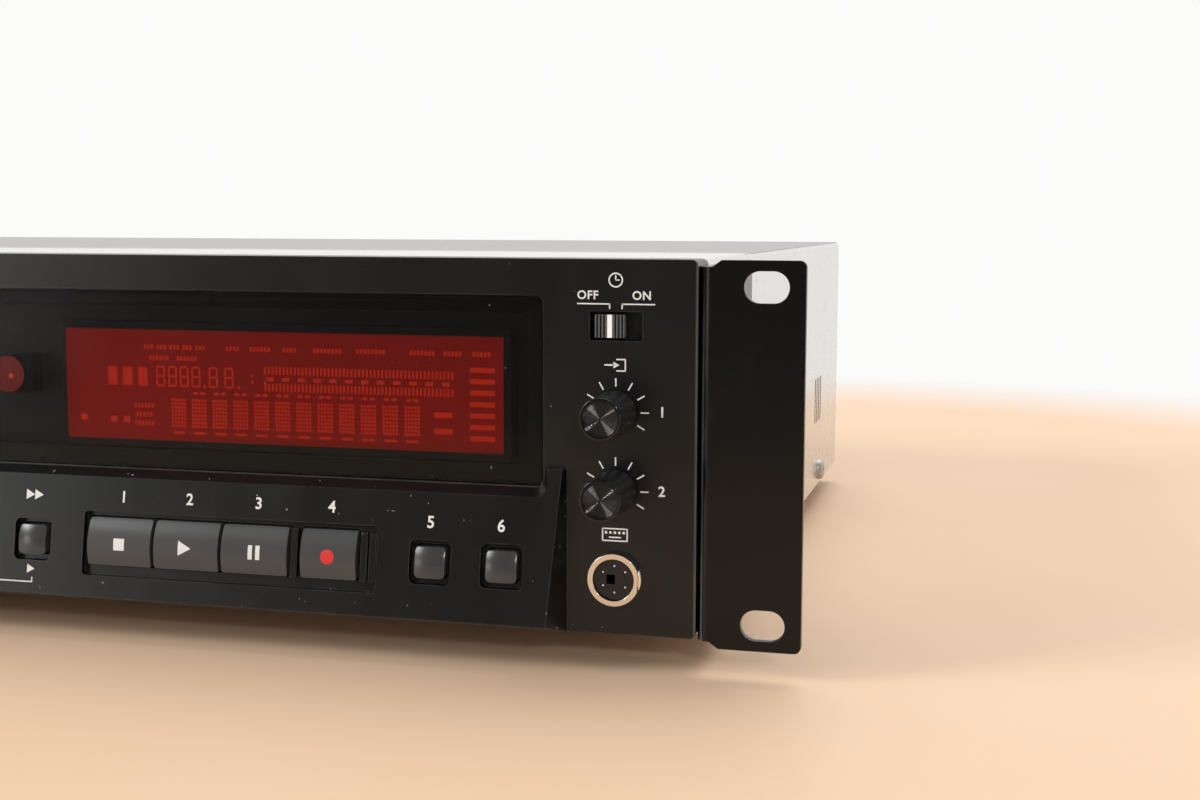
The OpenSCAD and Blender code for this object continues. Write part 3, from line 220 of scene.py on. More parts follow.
# %% A tree that nodes are added to
class Nodes:
    """A node tree, emptied, and a place to read patterns from: a point of the part, or a way out of it."""

    def __init__(self, tree, where="Object"):
        self.tree = tree
        self.tree.nodes.clear()
        self.where = self.node("ShaderNodeTexCoord", output=where)

    def node(self, kind, settings=None, sockets=None, output=0):
        """Adds a node: its settings first, then a value or a link for each named socket. Gives the output
        that is named, or the node itself where none is wanted."""
        node = self.tree.nodes.new(kind)
        for name, value in (settings or {}).items():
            setattr(node, name, value)
        for name, value in (sockets or {}).items():
            self.feed(node.inputs[name], value)
        return node if output is None else Wire(self, node.outputs[output])

    def feed(self, socket, value):
        if isinstance(value, Wire):
            self.tree.links.new(value.socket, socket)
        else:
            socket.default_value = value

    def noise(self, size, detail=2.0, stretch=None):
        """Soft blotches about size metres across, from 0 to 1, longer along the axes stretched below 1."""
        where = self.where
        if stretch:
            where = self.node("ShaderNodeMapping", {}, {"Vector": where, "Scale": stretch})
        return self.node("ShaderNodeTexNoise", {}, {"Vector": where, "Scale": 1 / size, "Detail": detail})

    def axis(self, name):
        """One coordinate of the point, in metres."""
        return self.node("ShaderNodeSeparateXYZ", {}, {0: self.where}, name)

    def facing_up(self, least):
        """1 where the upward part of the normal is above least."""
        normal = self.node("ShaderNodeNewGeometry", output="Normal")
        return self.node("ShaderNodeSeparateXYZ", {}, {0: normal}, "Z") > least

    def rays(self, *kinds):
        """A wire for each kind of ray, such as Camera: 1 where the ray is of that kind."""
        return [self.node("ShaderNodeLightPath", output=f"Is {kind} Ray") for kind in kinds]

    def step(self, value, low, high):
        """0 below low, 1 above high, a straight ramp between."""
        return self.node("ShaderNodeMapRange", {}, {"Value": value, "From Min": low, "From Max": high})

    def between(self, factor, first, second):
        """The first colour where factor is 0, the second where it is 1."""
        sockets = {0: factor, 6: opaque(first), 7: opaque(second)}
        return self.node("ShaderNodeMix", {"data_type": "RGBA"}, sockets, output=2)


print("a tree has", [name for name in vars(Nodes) if not name.startswith("_")])

# %% A finish in such a tree
FINISHES = {}


class Finish(Nodes):
    """A material around one Principled shader, with patterns in the part's own metres. FINISHES holds each
    one under its name."""

    def __init__(self, name, **constants):
        material = bpy.data.materials.new(name)
        material.use_nodes = True
        FINISHES[name] = material
        super().__init__(material.node_tree)
        self.shader = self.node("ShaderNodeBsdfPrincipled", output="BSDF")
        self.output = self.node("ShaderNodeOutputMaterial", {}, {"Surface": self.shader}, None)
        self.shade(**constants)

    def shade(self, **inputs):
        """Feeds the shader's own sockets, such as Base_Color or IOR."""
        for name, value in inputs.items():
            self.feed(self.shader.owner.inputs[name.replace("_", " ")], value)

    def surface(self, tone, roughness, height, depth, **others):
        """Feeds the colour, the roughness held from 0 to 1, a relief of height times depth metres, and any
        other socket by its name."""
        if isinstance(roughness, Wire):
            roughness = roughness.clamped()
        relief = self.node("ShaderNodeBump", {}, {"Height": height, "Distance": depth, "Strength": 1.0})
        self.shade(Base_Color=tone, Roughness=roughness, Normal=relief, **others)

    def white_beyond(self, share):
        """Where share is 1 the surface is a white backdrop that gives off its own white."""
        white = self.node("ShaderNodeEmission", {}, {"Color": WHITE})
        mixed = self.node("ShaderNodeMixShader", {}, {0: share, 1: self.shader, 2: white})
        self.feed(self.output.inputs["Surface"], mixed)

    def edge(self, radius):
        """1 on edges and corners sharper than that radius, 0 on open surfaces: the angle between the normal
        and the normal of the same surface with its edges rounded."""
        rounded = self.node("ShaderNodeBevel", {"samples": 4}, {"Radius": radius})
        normals = {0: rounded, 1: self.node("ShaderNodeNewGeometry", output="Normal")}
        agree = self.node("ShaderNodeVectorMath", {"operation": "DOT_PRODUCT"}, normals, "Value")
        return self.step(agree, 0.99, 0.8)


print("a finish adds", [name for name in vars(Finish) if not name.startswith("_")])

# %% [markdown]
# ## Moulded plastic
#
# The front, the keys and the knobs are moulded ABS. Steel moulds are spark-eroded, so the
# plastic has a fine even grain that scatters light, and years on a rack leave dust, a few
# smears and slightly polished edges; the pale edges also carry a painted highlight. A flat grey
# would look like card. Each of these is one term below: mottle for the colour, grain for the
# bump, wear and painted highlight for the edges, specks of dust.
# Sizes such as 0.03 are metres: blotches three centimetres across.

# %% Plastic finishes
def plastic(name, level, warmth=0.0, rough=0.42, grain=0.0003, depth=0.00001, wear_and_highlight_level=0.02, dust=0.0,
            shine=0.5, end=None):
    """Colour = level x (0.85 to 1.15 by mottle), paler on edges by wear and a painted highlight, and on
    dust;
    roughness varies by smears. A painted highlight draws a thin pale line on the front corners at x = end
    and -end."""
    finish = Finish(name, Specular_IOR_Level=shine)
    mottle = finish.noise(0.03, 3)
    smears = finish.noise(0.012, 4, (1, 1, 0.35))
    # Pale edges: partly real wear, partly a painted highlight.
    edge_wear_and_highlight = finish.edge(0.0005) * finish.step(finish.noise(0.004, 4), 0.30, 0.55)
    specks = finish.step(finish.noise(0.0011, 1), 0.775, 0.80) * dust
    tone = finish.between(mottle, grey(level * 0.85, warmth), grey(level * 1.15, warmth))
    tone = finish.between(edge_wear_and_highlight, tone, grey(level + wear_and_highlight_level, warmth))
    # Painted highlight: a thin pale line along the bezel's front corners at both ends.
    if end:
        corner = finish.step(finish.axis("X").absolute(), end - 0.00062, end - 0.00035)
        corner = corner * (finish.axis("Y") < FACE + 0.0006)
        tone = finish.between(corner * 0.9, tone, grey(0.062, 0.06))
    tone = finish.between(specks, tone, grey(0.45, 0.04))
    roughness = rough + 0.16 * (smears - 0.5) - 0.10 * edge_wear_and_highlight + 0.3 * specks
    finish.surface(tone, roughness, finish.noise(grain), depth)


PLASTICS = {
    "bezel_plastic": dict(level=0.0032, rough=0.30, grain=0.00022, wear_and_highlight_level=0.04, dust=0.5, shine=0.43,
                          end=BEZEL_END),
    "key_plastic": dict(level=0.048, warmth=-0.02, rough=0.30, depth=0.000008, wear_and_highlight_level=0.03),
    "button_plastic": dict(level=0.040, warmth=-0.02, rough=0.26, depth=0.000006, wear_and_highlight_level=0.06),
    "dark_plastic": dict(level=0.022, rough=0.46, depth=0.00002),
    "switch_plastic": dict(level=0.004, rough=0.30, grain=0.0002, depth=0.000006, wear_and_highlight_level=0.01),
    "gear_nylon": dict(level=0.58, warmth=0.05, rough=0.38, grain=0.0004, wear_and_highlight_level=0.10),
    "black_rubber": dict(level=0.018, warmth=0.02, rough=0.72, grain=0.0004, depth=0.00003, wear_and_highlight_level=0.03,
                         dust=0.4),
    "ribbon_grey": dict(level=0.34, rough=0.45, grain=0.0005, wear_and_highlight_level=0.04),
}
for name, terms in PLASTICS.items():
    plastic(name, **terms)


def knob_finish():
    """Black, with a polished face between the grooves and a satin side: rough 0.13 in front, 0.45 behind."""
    finish = Finish("knob_plastic", Specular_IOR_Level=0.42)
    face = finish.axis("Y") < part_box("input_knob_left")[0].y + 0.0008
    mottle = finish.noise(0.004, 3)
    tone = finish.between(face, grey(0.011), finish.between(mottle, grey(0.0035), grey(0.006)))
    roughness = 0.45 - 0.32 * face + 0.06 * (mottle - 0.5)
    finish.surface(tone, roughness, finish.noise(0.0003), 0.000002)


knob_finish()
print(len(FINISHES), "plastics and rubbers")

# %% [markdown]
# ## Sheet metal, paint and plating
#
# The case is zinc-plated steel, folded and left bare. Rolling leaves faint streaks along the
# sheet, and the plating clouds a little, so both the colour and the roughness drift. Dust has
# settled on the top, where it dulls the metal. Its edges are paler, partly by wear and partly as a
# painted highlight. The ears and the back are powder-coated: a thick satin black with a slight
# orange peel, worn to a thin grey on the edges, which also stands for their highlight; on the
# ears a painted highlight runs down the bend. Plated sockets and ground rods are smoother still
# and keep a sharper reflection.

# %% Metal and paint finishes
FILM_STARTS = 0.067


def metal(name, colour, rough=0.28, streak=None, cloud=0.05, depth=0.000004, bare=1.0, dusty=False):
    """A bare metal: its colour by slow clouds, its roughness by long streaks and small stains. Where it is
    dusty, a film lies on what faces up from 67 mm behind the bezel's face onward."""
    finish = Finish(name)
    clouds = finish.noise(cloud, 4)
    streaks = finish.noise(0.0016, 3, streak)
    stains = finish.step(finish.noise(0.007, 5), 0.62, 0.78)
    # Paler edges: partly wear, partly a painted highlight.
    edge_wear_and_highlight = finish.edge(0.0004)
    light = times(colour, 1.10)
    tone = finish.between(clouds * 0.7 + streaks * 0.3, times(colour, 0.86), light)
    tone = finish.between(stains * 0.35, tone, times(colour, 0.6))
    tone = finish.between(edge_wear_and_highlight * 0.5, tone, light)
    roughness = rough + 0.10 * (clouds - 0.5) + 0.10 * (streaks - 0.5) + 0.12 * stains - 0.06 * edge_wear_and_highlight
    if dusty:
        line = FACE + FILM_STARTS
        along = finish.axis("Y") + 0.024 * (clouds - 0.5)
        film = finish.facing_up(0.8) * finish.step(along, line - 0.009, line + 0.013)
        tone = finish.between(film * (0.75 + 0.2 * streaks), tone, grey(0.34, 0.03))
        roughness = roughness + 0.42 * film
        bare = bare - 0.85 * film
    finish.surface(tone, roughness, streaks * 0.6 + finish.noise(0.0012), depth, Metallic=bare)


def powder_coat(name, bend=None):
    """Satin black paint: orange peel 0.7 mm across, finer grain on it, bare grey at the sharpest edges that
    is partly wear and partly a painted highlight, and, where the sheet bends at x = bend, a painted
    highlight line that is brightest at its foot."""
    level, warmth = 0.0030, 0.05
    finish = Finish(name, Specular_IOR_Level=0.28)
    mottle = finish.noise(0.02, 3)
    scuffs = finish.step(finish.noise(0.009, 5, (1, 1, 0.4)), 0.64, 0.74)
    # Pale edges: partly wear, partly a painted highlight.
    edge_wear_and_highlight = finish.edge(0.0003) * finish.step(finish.noise(0.003, 4), 0.45, 0.7)
    # Painted highlight along the bend, brightest low down, where the floor would mirror in it.
    if bend:
        line = finish.step((finish.axis("X").absolute() - bend).absolute(), 0.00034, 0.00012)
        foot = finish.step(finish.axis("Z"), UNDER + 0.085, UNDER) * 0.8 + 0.2
        line = line * foot * finish.step(finish.noise(0.006, 2, (1, 1, 0.2)), 0.25, 0.5)
        edge_wear_and_highlight = edge_wear_and_highlight + line * 1.2
    tone = finish.between(mottle, grey(level * 0.85, warmth), grey(level * 1.2, warmth))
    tone = finish.between((edge_wear_and_highlight * 0.6).clamped(), tone, grey(0.22, 0.02))
    tone = finish.between(scuffs * 0.25, tone, grey(level * 3, warmth))
    roughness = 0.22 + 0.12 * (mottle - 0.5) + 0.12 * scuffs - 0.08 * edge_wear_and_highlight
    finish.surface(tone, roughness, finish.noise(0.0007) + 0.3 * finish.noise(0.00018, 1), 0.00002)


STEEL = dict(colour=(0.76, 0.75, 0.73), rough=0.27, streak=(0.12, 1, 1))
METALS = {
    "sheet_steel": STEEL,
    "cover_steel": dict(STEEL, dusty=True),
    "rod_steel": dict(colour=(0.66, 0.66, 0.67), rough=0.12, cloud=0.02, depth=0.000002),
    "screw_zinc": dict(colour=(0.56, 0.54, 0.51), rough=0.50, cloud=0.004),
    "core_steel": dict(colour=(0.36, 0.35, 0.34), rough=0.42, streak=(1, 1, 0.05), cloud=0.01,
                       depth=0.00002),
    "sink_aluminium": dict(colour=(0.72, 0.73, 0.74), rough=0.36, streak=(0.2, 1, 0.05), cloud=0.02,
                           depth=0.00001),
    "nickel": dict(colour=(0.76, 0.71, 0.64), rough=0.12, cloud=0.01, depth=0.000001),
    "contact_tin": dict(colour=(0.90, 0.88, 0.84), rough=0.45, cloud=0.002, depth=0.000001, bare=0.5),
    "gold_plate": dict(colour=(0.83, 0.62, 0.27), rough=0.18, cloud=0.01, depth=0.000002),
}
for name, terms in METALS.items():
    metal(name, **terms)
powder_coat("black_paint")
powder_coat("ear_paint", bend=BEZEL_END + 0.0011)
print(len(FINISHES), "finishes with the metals and paints")

# %% [markdown]
# ## Window, filter and tube
#
# The window is a smoked acrylic sheet: it hides the bezel's inside but lets the tube through. Real
# transmission would need many bounces, and a thin sheet hardly bends the light, so a
# see-through share (alpha) of a near-black gloss does the same. The red filter behind it is
# treated alike, in red, with a painted glow. The tube is dark glass, with its segments on it;
# its ground glows faintly too, only inside the filter's outline. These glows are painted light:
# the tube is not lit, and they stand in for room light through the red filter.

# %% Clear and glassy finishes
def smoked_sheet():
    """0.65 of the light passes each face; the rest meets a gloss with smears, a few specks of dust and, on
    the left above, the haze of a wiping cloth."""
    finish = Finish("smoked_acrylic", Alpha=0.35, IOR=1.46)
    smoke = (0.0020, 0.0020, 0.0016)
    smears = finish.noise(0.02, 4, (1, 1, 0.3))
    specks = finish.step(finish.noise(0.0016, 1), 0.79, 0.80) * finish.step(finish.noise(0.03, 2), 0.45, 0.6)
    left = finish.step(finish.axis("X"), 0.13, 0.03)
    above = finish.step(finish.axis("Z"), UNDER + 0.055, UNDER + 0.068)
    haze = left * above * finish.step(finish.noise(0.022, 3, (1, 1, 1.6)), 0.42, 0.75)
    tone = finish.between(smears, smoke, times(smoke, 1.5))
    tone = finish.between(haze * 0.35, tone, (0.055, 0.042, 0.058))
    tone = finish.between(specks * 0.8, tone, grey(0.5))
    finish.surface(tone, 0.04 + 0.08 * smears + 0.3 * specks, finish.noise(0.006), 0.000002)


def red_filter():
    """Red film with a painted glow, least at the upper right; the tube behind it is not lit. Its back face
    is clear.
    """
    finish = Finish("red_filter", IOR=1.32, Emission_Strength=1.0)
    low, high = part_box("display_filter")
    cloud = finish.noise(0.025, 3)
    rightward = finish.step(finish.axis("X"), low.x, high.x)
    upward = finish.step(finish.axis("Z"), low.z, high.z)
    fading = 0.5 * cloud + 0.5 * (0.6 * rightward + 0.4 * upward)
    # Painted glow, dimmer to the right and upward.
    painted_glow = finish.between(fading, (0.54, 0.006, 0.001), (0.19, 0.002, 0.001))
    tone = finish.between(cloud, (0.03, 0.001, 0.001), (0.02, 0.001, 0.001))
    front = finish.axis("Y") < high.y - 0.0001
    finish.surface(tone, 0.16 + 0.08 * cloud, finish.noise(0.004), 0.000002, Emission_Color=painted_glow,
                   Alpha=front * 0.42)


def inside(finish, node):
    """1 where x and z lie inside a node's box, 0 outside it."""
    low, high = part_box(node)
    off_x = (finish.axis("X") - (low.x + high.x) / 2).absolute() < (high.x - low.x) / 2
    off_z = (finish.axis("Z") - (low.z + high.z) / 2).absolute() < (high.z - low.z) / 2
    return off_x * off_z


def tube_glass():
    """Dark glass over a brownish ground with a faint painted glow: cells 0.6 mm apart from the mesh in the
    tube.
    The rim outside the red filter is black."""
    finish = Finish("display_glass", IOR=1.5, Emission_Strength=1.0)
    pitch = 0.0006
    across, upward = [(finish.axis(name).share_of(pitch) - 0.5).absolute() for name in "XZ"]
    mesh = finish.step(across + upward, 0.3, 0.8)
    cloud = finish.noise(0.02, 3)
    # The painted glow lies only inside the filter's outline; outside it is black.
    under_filter = inside(finish, "display_filter")
    tone = finish.between(cloud, (0.06, 0.008, 0.004), (0.10, 0.015, 0.007))
    tone = finish.between(under_filter, grey(0.004), tone)
    painted_glow = finish.between(mesh * 0.3 + cloud * 0.4, (0.22, 0.006, 0.002), (0.10, 0.003, 0.001))
    painted_glow = finish.between(under_filter, grey(0), painted_glow)
    finish.surface(tone, 0.12 + 0.1 * cloud, mesh, 0.000003, Emission_Color=painted_glow)


def segment_phosphor():
    """Phosphor seen through the filter: brighter red than the ground, grainy, uneven from cell to cell; its
    glow is painted light.
    """
    finish = Finish("segment_phosphor", Emission_Strength=1.0)
    grain = finish.noise(0.0003)
    share = finish.noise(0.014, 3) * 0.7 + grain * 0.3
    tone = finish.between(share, (0.30, 0.022, 0.006), (0.62, 0.06, 0.016))
    painted_glow = finish.between(share, (0.50, 0.016, 0.002), (0.92, 0.036, 0.002))
    finish.surface(tone, 0.5 + 0.2 * grain, grain, 0.000006, Emission_Color=painted_glow)


def sensor_finish():
    """The remote control's eye: red in its round front, with a painted glow and a painted highlight dot,
    black on the square foot behind it.
    """
    finish = Finish("sensor_red", Emission_Strength=1.0)
    low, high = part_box("remote_sensor")
    across = finish.axis("X") - (low.x + high.x) / 2
    upward = finish.axis("Z") - (low.z + high.z) / 2
    reach = (across ** 2 + upward ** 2) ** 0.5
    eye = (reach < 0.0046) * (finish.axis("Y") < low.y + 0.0004)
    # Painted highlight: a small bright dot on the eye.
    spot = finish.step(((across - 0.0010) ** 2 + (upward + 0.0004) ** 2) ** 0.5, 0.0009, 0.0003)
    ring = finish.noise(0.003, 3)
    # Painted glow in the eye, though it is no lamp.
    painted_glow = finish.between(ring, (0.10, 0.006, 0.003), (0.17, 0.010, 0.004))
    painted_glow = finish.between(spot * eye, finish.between(eye, grey(0), painted_glow), (0.9, 0.08, 0.03))
    tone = finish.between(eye, grey(0.004), (0.12, 0.004, 0.003))
    finish.surface(tone, 0.2 + 0.1 * ring, ring, 0.000003, Emission_Color=painted_glow)


smoked_sheet()
red_filter()
tube_glass()
segment_phosphor()
sensor_finish()
print(len(FINISHES), "finishes with the glass and acrylic")

# %% [markdown]
# ## Circuit boards
#
# The main board is green glass fibre with a solder mask over copper tracks, the one behind the front
# has a black mask so that nothing shows through the window, and the supply's is brown paper
# board. From outside nobody sees them, but the part opens up when its cover is lifted,
# so the tracks are worked out from their own coordinates: bands that jog at random, like routed
# copper, and a dot of tinned copper wherever a grid of pads falls.

# %% Board finishes
BOARD_TOP = UNDER + 0.0096
PAD_PITCH = 0.00254


def board(name, mask, copper, length="Y", top=None, parts=(0.012, 0.012, 0.013), tinned=0.60):
    """Tracks where bands along both axes, shifted by a coarse noise, meet; pads in patches, 2.54 mm apart.
    What stands above the board's top is parts: dark bodies, with bare aluminium on the tall cans' ends."""
    finish = Finish(name, Coat_Roughness=0.15)
    across, along = finish.axis("X"), finish.axis(length)
    shift = finish.step(finish.noise(0.014, 0), 0.42, 0.58)
    band = ((across + shift * 0.006).share_of(0.0021) - 0.5).absolute()
    cross = ((along - shift * 0.004).share_of(0.0034) - 0.5).absolute()
    patch = finish.noise(0.03, 1) > 0.52
    track = (band > 0.36) * patch + (cross > 0.40) * (1 - patch)
    off_x, off_y = [(way.share_of(PAD_PITCH) - 0.5) ** 2 for way in (across, along)]
    pad = ((off_x + off_y) < 0.06) * (finish.noise(0.018, 1) > tinned)
    tone = finish.between(finish.noise(0.02, 3), mask, times(mask, 1.3))
    tone = finish.between(track.clamped() * 0.8, tone, copper)
    tone = finish.between(pad, tone, grey(0.62, 0.03))
    bare = pad * 0.8
    if top:
        mounted = finish.axis("Z") > top + 0.00005
        can = finish.facing_up(0.9) * (finish.axis("Z") > top + 0.0085)
        body = finish.between(finish.noise(0.0012, 3), parts, times(parts, 1.6))
        tone = finish.between(mounted, tone, finish.between(can, body, grey(0.62)))
        bare = bare * (1 - mounted) + can
        track = track * (1 - mounted)
    finish.surface(tone, 0.34 - 0.1 * pad + 0.1 * finish.noise(0.005), track.clamped() * 0.5 + pad,
                   0.00003, Metallic=bare.clamped(), Coat_Weight=0.3 * (1 - bare.clamped()))


board("board_green", (0.010, 0.065, 0.022), (0.02, 0.13, 0.04), top=BOARD_TOP)
board("board_black", (0.0022, 0.0026, 0.002), (0.004, 0.0045, 0.0035), "Z", tinned=0.9)
board("board_brown", (0.26, 0.13, 0.04), (0.34, 0.18, 0.06), top=BOARD_TOP, parts=(0.012, 0.016, 0.05))
print(len(FINISHES), "finishes with the boards")

# %% [markdown]
# ## Ink and pieces of two materials
#
# Screen-printed ink is thin, even and slightly rough. A few nodes hold two materials in one solid:
# the transformer its steel sheets and its taped winding, the phono sockets their black block
# and gilt rings, the timer's slider its ribs and white stripe. A plane or a band in the
# part's own coordinates parts the two, which needs no extra seam in the mesh.

# %% Ink, transformer, sockets and slider
def ink(name, colour):
    """The colour, drifting by a tenth, with pinholes of a fifth of a millimetre."""
    finish = Finish(name)
    holes = finish.step(finish.noise(0.0002), 0.30, 0.36)
    drift = finish.noise(0.01, 3)
    tone = finish.between(holes, times(colour, 0.7), finish.between(drift, times(colour, 0.9), colour))
    finish.surface(tone, 0.5 + 0.15 * drift, holes, 0.000004)


def transformer_finish():
    """Laminations every 0.5 mm on the core; amber tape over the winding that shows before and behind it."""
    finish = Finish("transformer_core")
    low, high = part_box("transformer")
    core = (finish.axis("Y") > low.y + 0.007) * (finish.axis("Y") < high.y - 0.007)
    sheets = (finish.axis("X").share_of(0.0005) - 0.5).absolute()
    rust = finish.noise(0.006, 5)
    steel = finish.between(rust, (0.20, 0.19, 0.18), (0.36, 0.34, 0.31))
    steel = finish.between(sheets * 0.8, steel, (0.10, 0.09, 0.085))
    tape = finish.between(finish.noise(0.004, 3, (1, 1, 0.1)), (0.42, 0.22, 0.04), (0.55, 0.32, 0.07))
    finish.surface(finish.between(core, tape, steel), 0.30 + 0.25 * rust, sheets * core, 0.00004,
                   Metallic=core * 0.8)


def phono_finish():
    """Black plastic inside the rear panel, gilt metal outside it."""
    finish = Finish("phono_metal")
    outside = finish.axis("Y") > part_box("rear_panel")[0].y - 0.0002
    cloud = finish.noise(0.004, 4)
    tone = finish.between(outside, grey(0.012), METALS["gold_plate"]["colour"])
    tone = finish.between(cloud * 0.25, tone, grey(0.02))
    finish.surface(tone, 0.24 + 0.14 * (cloud - 0.5), finish.noise(0.0004), 0.000008,
                   Metallic=outside)


def slider_finish():
    """Grey ribs with a white stripe 1.1 mm wide down the middle of the slider's front, black beside them."""
    finish = Finish("slider_plastic", Specular_IOR_Level=0.4)
    off = (finish.axis("X") - middle("timer_switch")[0] * MM).absolute()
    stripe = (off < 0.00055) * (finish.axis("Y") < FACE - 0.0003)
    knob = (off < 0.0036) * (finish.axis("Y") < FACE + 0.0012)
    mottle = finish.noise(0.0008, 3)
    tone = finish.between(knob, grey(0.004), finish.between(mottle, grey(0.075), grey(0.11)))
    tone = finish.between(stripe, tone, grey(0.86))
    finish.surface(tone, 0.32 + 0.15 * mottle, finish.noise(0.0003), 0.000006)


ink("white_ink", (0.70, 0.70, 0.68))
ink("red_ink", (0.62, 0.018, 0.012))
transformer_finish()
phono_finish()
slider_finish()
print(len(FINISHES), "finishes in all")

# %% [markdown]
# ## Carried-over solids
#
# Every solid of the packed model keeps its shape and gets the finish that its slot names, or one of
# its own where the slot covers several looks. One function does that for all of them, so no
# node is ever left in the flat colour it came with.

# %% Give every CAD node its finish
OWN_FINISH = {"front_board": "board_black", "transformer": "transformer_core", "top_cover": "cover_steel",
              "phono_sockets": "phono_metal", "timer_switch": "slider_plastic", "case_screws": "screw_zinc",
              "remote_sensor": "sensor_red", "rack_ear_left": "ear_paint", "rack_ear_right": "ear_paint"}
SMALL_BUTTONS = ("search_back", "search_forward", "sync", "input_select", "menu", "display", "open_close")
OWN_FINISH.update({button + "_button": "button_plastic" for button in SMALL_BUTTONS})
FINISH_OF = {node: OWN_FINISH.get(node, slot) for node, slot in SLOT_OF.items()}


def paint(piece, finish):
    piece.data.materials.clear()
    piece.data.materials.append(FINISHES[finish])


for node, piece in frame["nodes"].items():
    paint(piece, FINISH_OF[node])
print("painted", len(frame["nodes"]), "nodes in", len(set(FINISH_OF.values())), "finishes")

# %% [markdown]
# ## Moulded radii
#
# No moulded or folded edge is truly sharp. A radius of a quarter of a millimetre is invisible as a
# shape, yet it is what draws the bright line round a key or along the bezel. The solids
# carry the large forms only, so each visible one is copied, its triangles are joined into whole
# faces again, and a Bevel modifier rounds the edges that turn more than 28 degrees.

# %% Copies of the visible solids
def finished(mesh, name, body, finish, node=None):
    """Adds a mesh as a piece that rides on a body; where node is named, it stands for that CAD node."""
    piece = added(name, mesh)
    paint(piece, finish)
    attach(piece, body)
    if node:
        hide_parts(node)
    return piece


def merged(mesh, distance):
    """A working copy of a mesh, in which points closer than the distance become one."""
    work = bmesh.new()
    work.from_mesh(mesh)
    bmesh.ops.remove_doubles(work, verts=work.verts, dist=distance)
    return work


def whole_faces(node, flat=0.4):
    """A copy of a CAD mesh, its loose triangles merged and flat neighbours joined into one face."""
    work = merged(frame["nodes"][node].data, 0.000002)
    bmesh.ops.dissolve_limit(work, angle_limit=math.radians(flat), verts=work.verts, edges=work.edges)
    mesh = bpy.data.meshes.new(node + "_rounded")
    work.to_mesh(mesh)
    work.free()
    mesh.shade_smooth()
    return mesh


print("the bezel has", len(frame["nodes"]["front_bezel"].data.polygons), "triangles before they are joined")

# %% The ears' corners
EAR_CORNER = 0.0030
EAR_RADIUS = 0.0016
EAR_BEND = 0.0030
EAR_SLANT = 0.0021


def trim_ear(mesh):
    """The ear's outer corners tighter, 1.6 mm instead of 3: each point of the arc keeps its direction from
    the arc's centre. Its inner corners run out to the bend in a slant, as a sheared and folded plate has."""
    points = np.zeros(len(mesh.vertices) * 3)
    mesh.vertices.foreach_get("co", points)
    points = points.reshape(-1, 3)
    side = np.sign(points[:, 0].mean())
    across, height = np.abs(points[:, 0]), points[:, 2].copy()
    outer = across.max()
    for edge, way in ((height.min(), 1), (height.max(), -1)):
        aim = np.stack([across, height], 1) - [outer - EAR_CORNER, edge + way * EAR_CORNER]
        on_arc = (aim[:, 0] > -1e-6) & (aim[:, 1] * way < 1e-6)
        aim /= np.linalg.norm(aim, axis=1, keepdims=True)
        tight = np.array([outer - EAR_RADIUS, edge + way * EAR_RADIUS]) + EAR_RADIUS * aim
        points[on_arc, 0] = side * tight[on_arc, 0]
        points[on_arc, 2] = tight[on_arc, 1]
        inner = (np.abs(height - edge) < 1e-6) & (across < BEZEL_END + EAR_BEND + 1e-5)
        points[inner, 0] += side * EAR_SLANT
    mesh.vertices.foreach_set("co", points.ravel())
    mesh.update()


print("ear corners go from", EAR_CORNER / MM, "to", EAR_RADIUS / MM, "mm")

# %% Round the edges
def round_edges(node, radius, turn=28):
    """Two segments on each edge that turns more than turn degrees; large faces keep their own normals."""
    mesh = whole_faces(node)
    if node.startswith("rack_ear"):
        trim_ear(mesh)
    piece = finished(mesh, node + "_rounded", BODY_OF[node], FINISH_OF[node], node)
    bevel = piece.modifiers.new("moulded_radius", "BEVEL")
    bevel.width = radius
    bevel.segments = 2
    bevel.limit_method = "ANGLE"
    bevel.angle_limit = math.radians(turn)
    bevel.miter_outer = "MITER_ARC"
    weigh = piece.modifiers.new("flat_faces", "WEIGHTED_NORMAL")
    weigh.mode = "FACE_AREA"
    weigh.weight = 100
    return piece


RADII = {"front_bezel": 0.30, "tray_door": 0.25, "display_window": 0.20, "top_cover": 0.25,
         "rack_ear_left": 0.25, "rack_ear_right": 0.25, "timer_switch": 0.10, "power_button": 0.25,
         "open_close_button": 0.25, "jog_dial": 0.30, "phones_jack": 0.20, "keyboard_socket": 0.55,
         "keyboard_insert": 0.10}
RADII.update({node: 0.30 for node in frame["nodes"] if node.endswith("_button") and node not in RADII})
for node, radius in RADII.items():
    piece = round_edges(node, radius * MM)
    shape = piece.evaluated_get(bpy.context.evaluated_depsgraph_get()).data
    print(node, len(shape.polygons), "faces")

# %% [markdown]
# ## Spun knob faces
#
# The level knobs have a face with fine grooves, cut as a record is: they are what splits the light
# into two bright wedges. A flat disc with a noise would never do that, and the grooves are only
# a quarter of a millimetre apart, so they are real rings in the profile: its depth swings with the
# radius. The skirt is smooth, with a chamfer at the front that draws the bright rim. A profile
# turned round an axis gives a grid of points at once, and a second function makes grids a mesh.

# %% Turned surfaces
def turned(axis_x, axis_z, profile, around=96):
    """A profile of (depth, radius) pairs turned round an axis through the front: x = axis + r cos a,
    z = axis + r sin a. Depth grows away from the viewer."""
    depth, radius = np.array(profile, float).T
    angle = np.linspace(0, 2 * math.pi, around, endpoint=False)
    x = axis_x + radius[:, None] * np.cos(angle)
    z = axis_z + radius[:, None] * np.sin(angle)
    return place(np.stack([x, np.broadcast_to(depth[:, None], x.shape), z], -1))


def quads_of(number):
    """A face for every four neighbours in a grid of point numbers."""
    quads = np.stack([number[:-1, :-1], number[:-1, 1:], number[1:, 1:], number[1:, :-1]], -1)
    return quads.reshape(-1, 4)


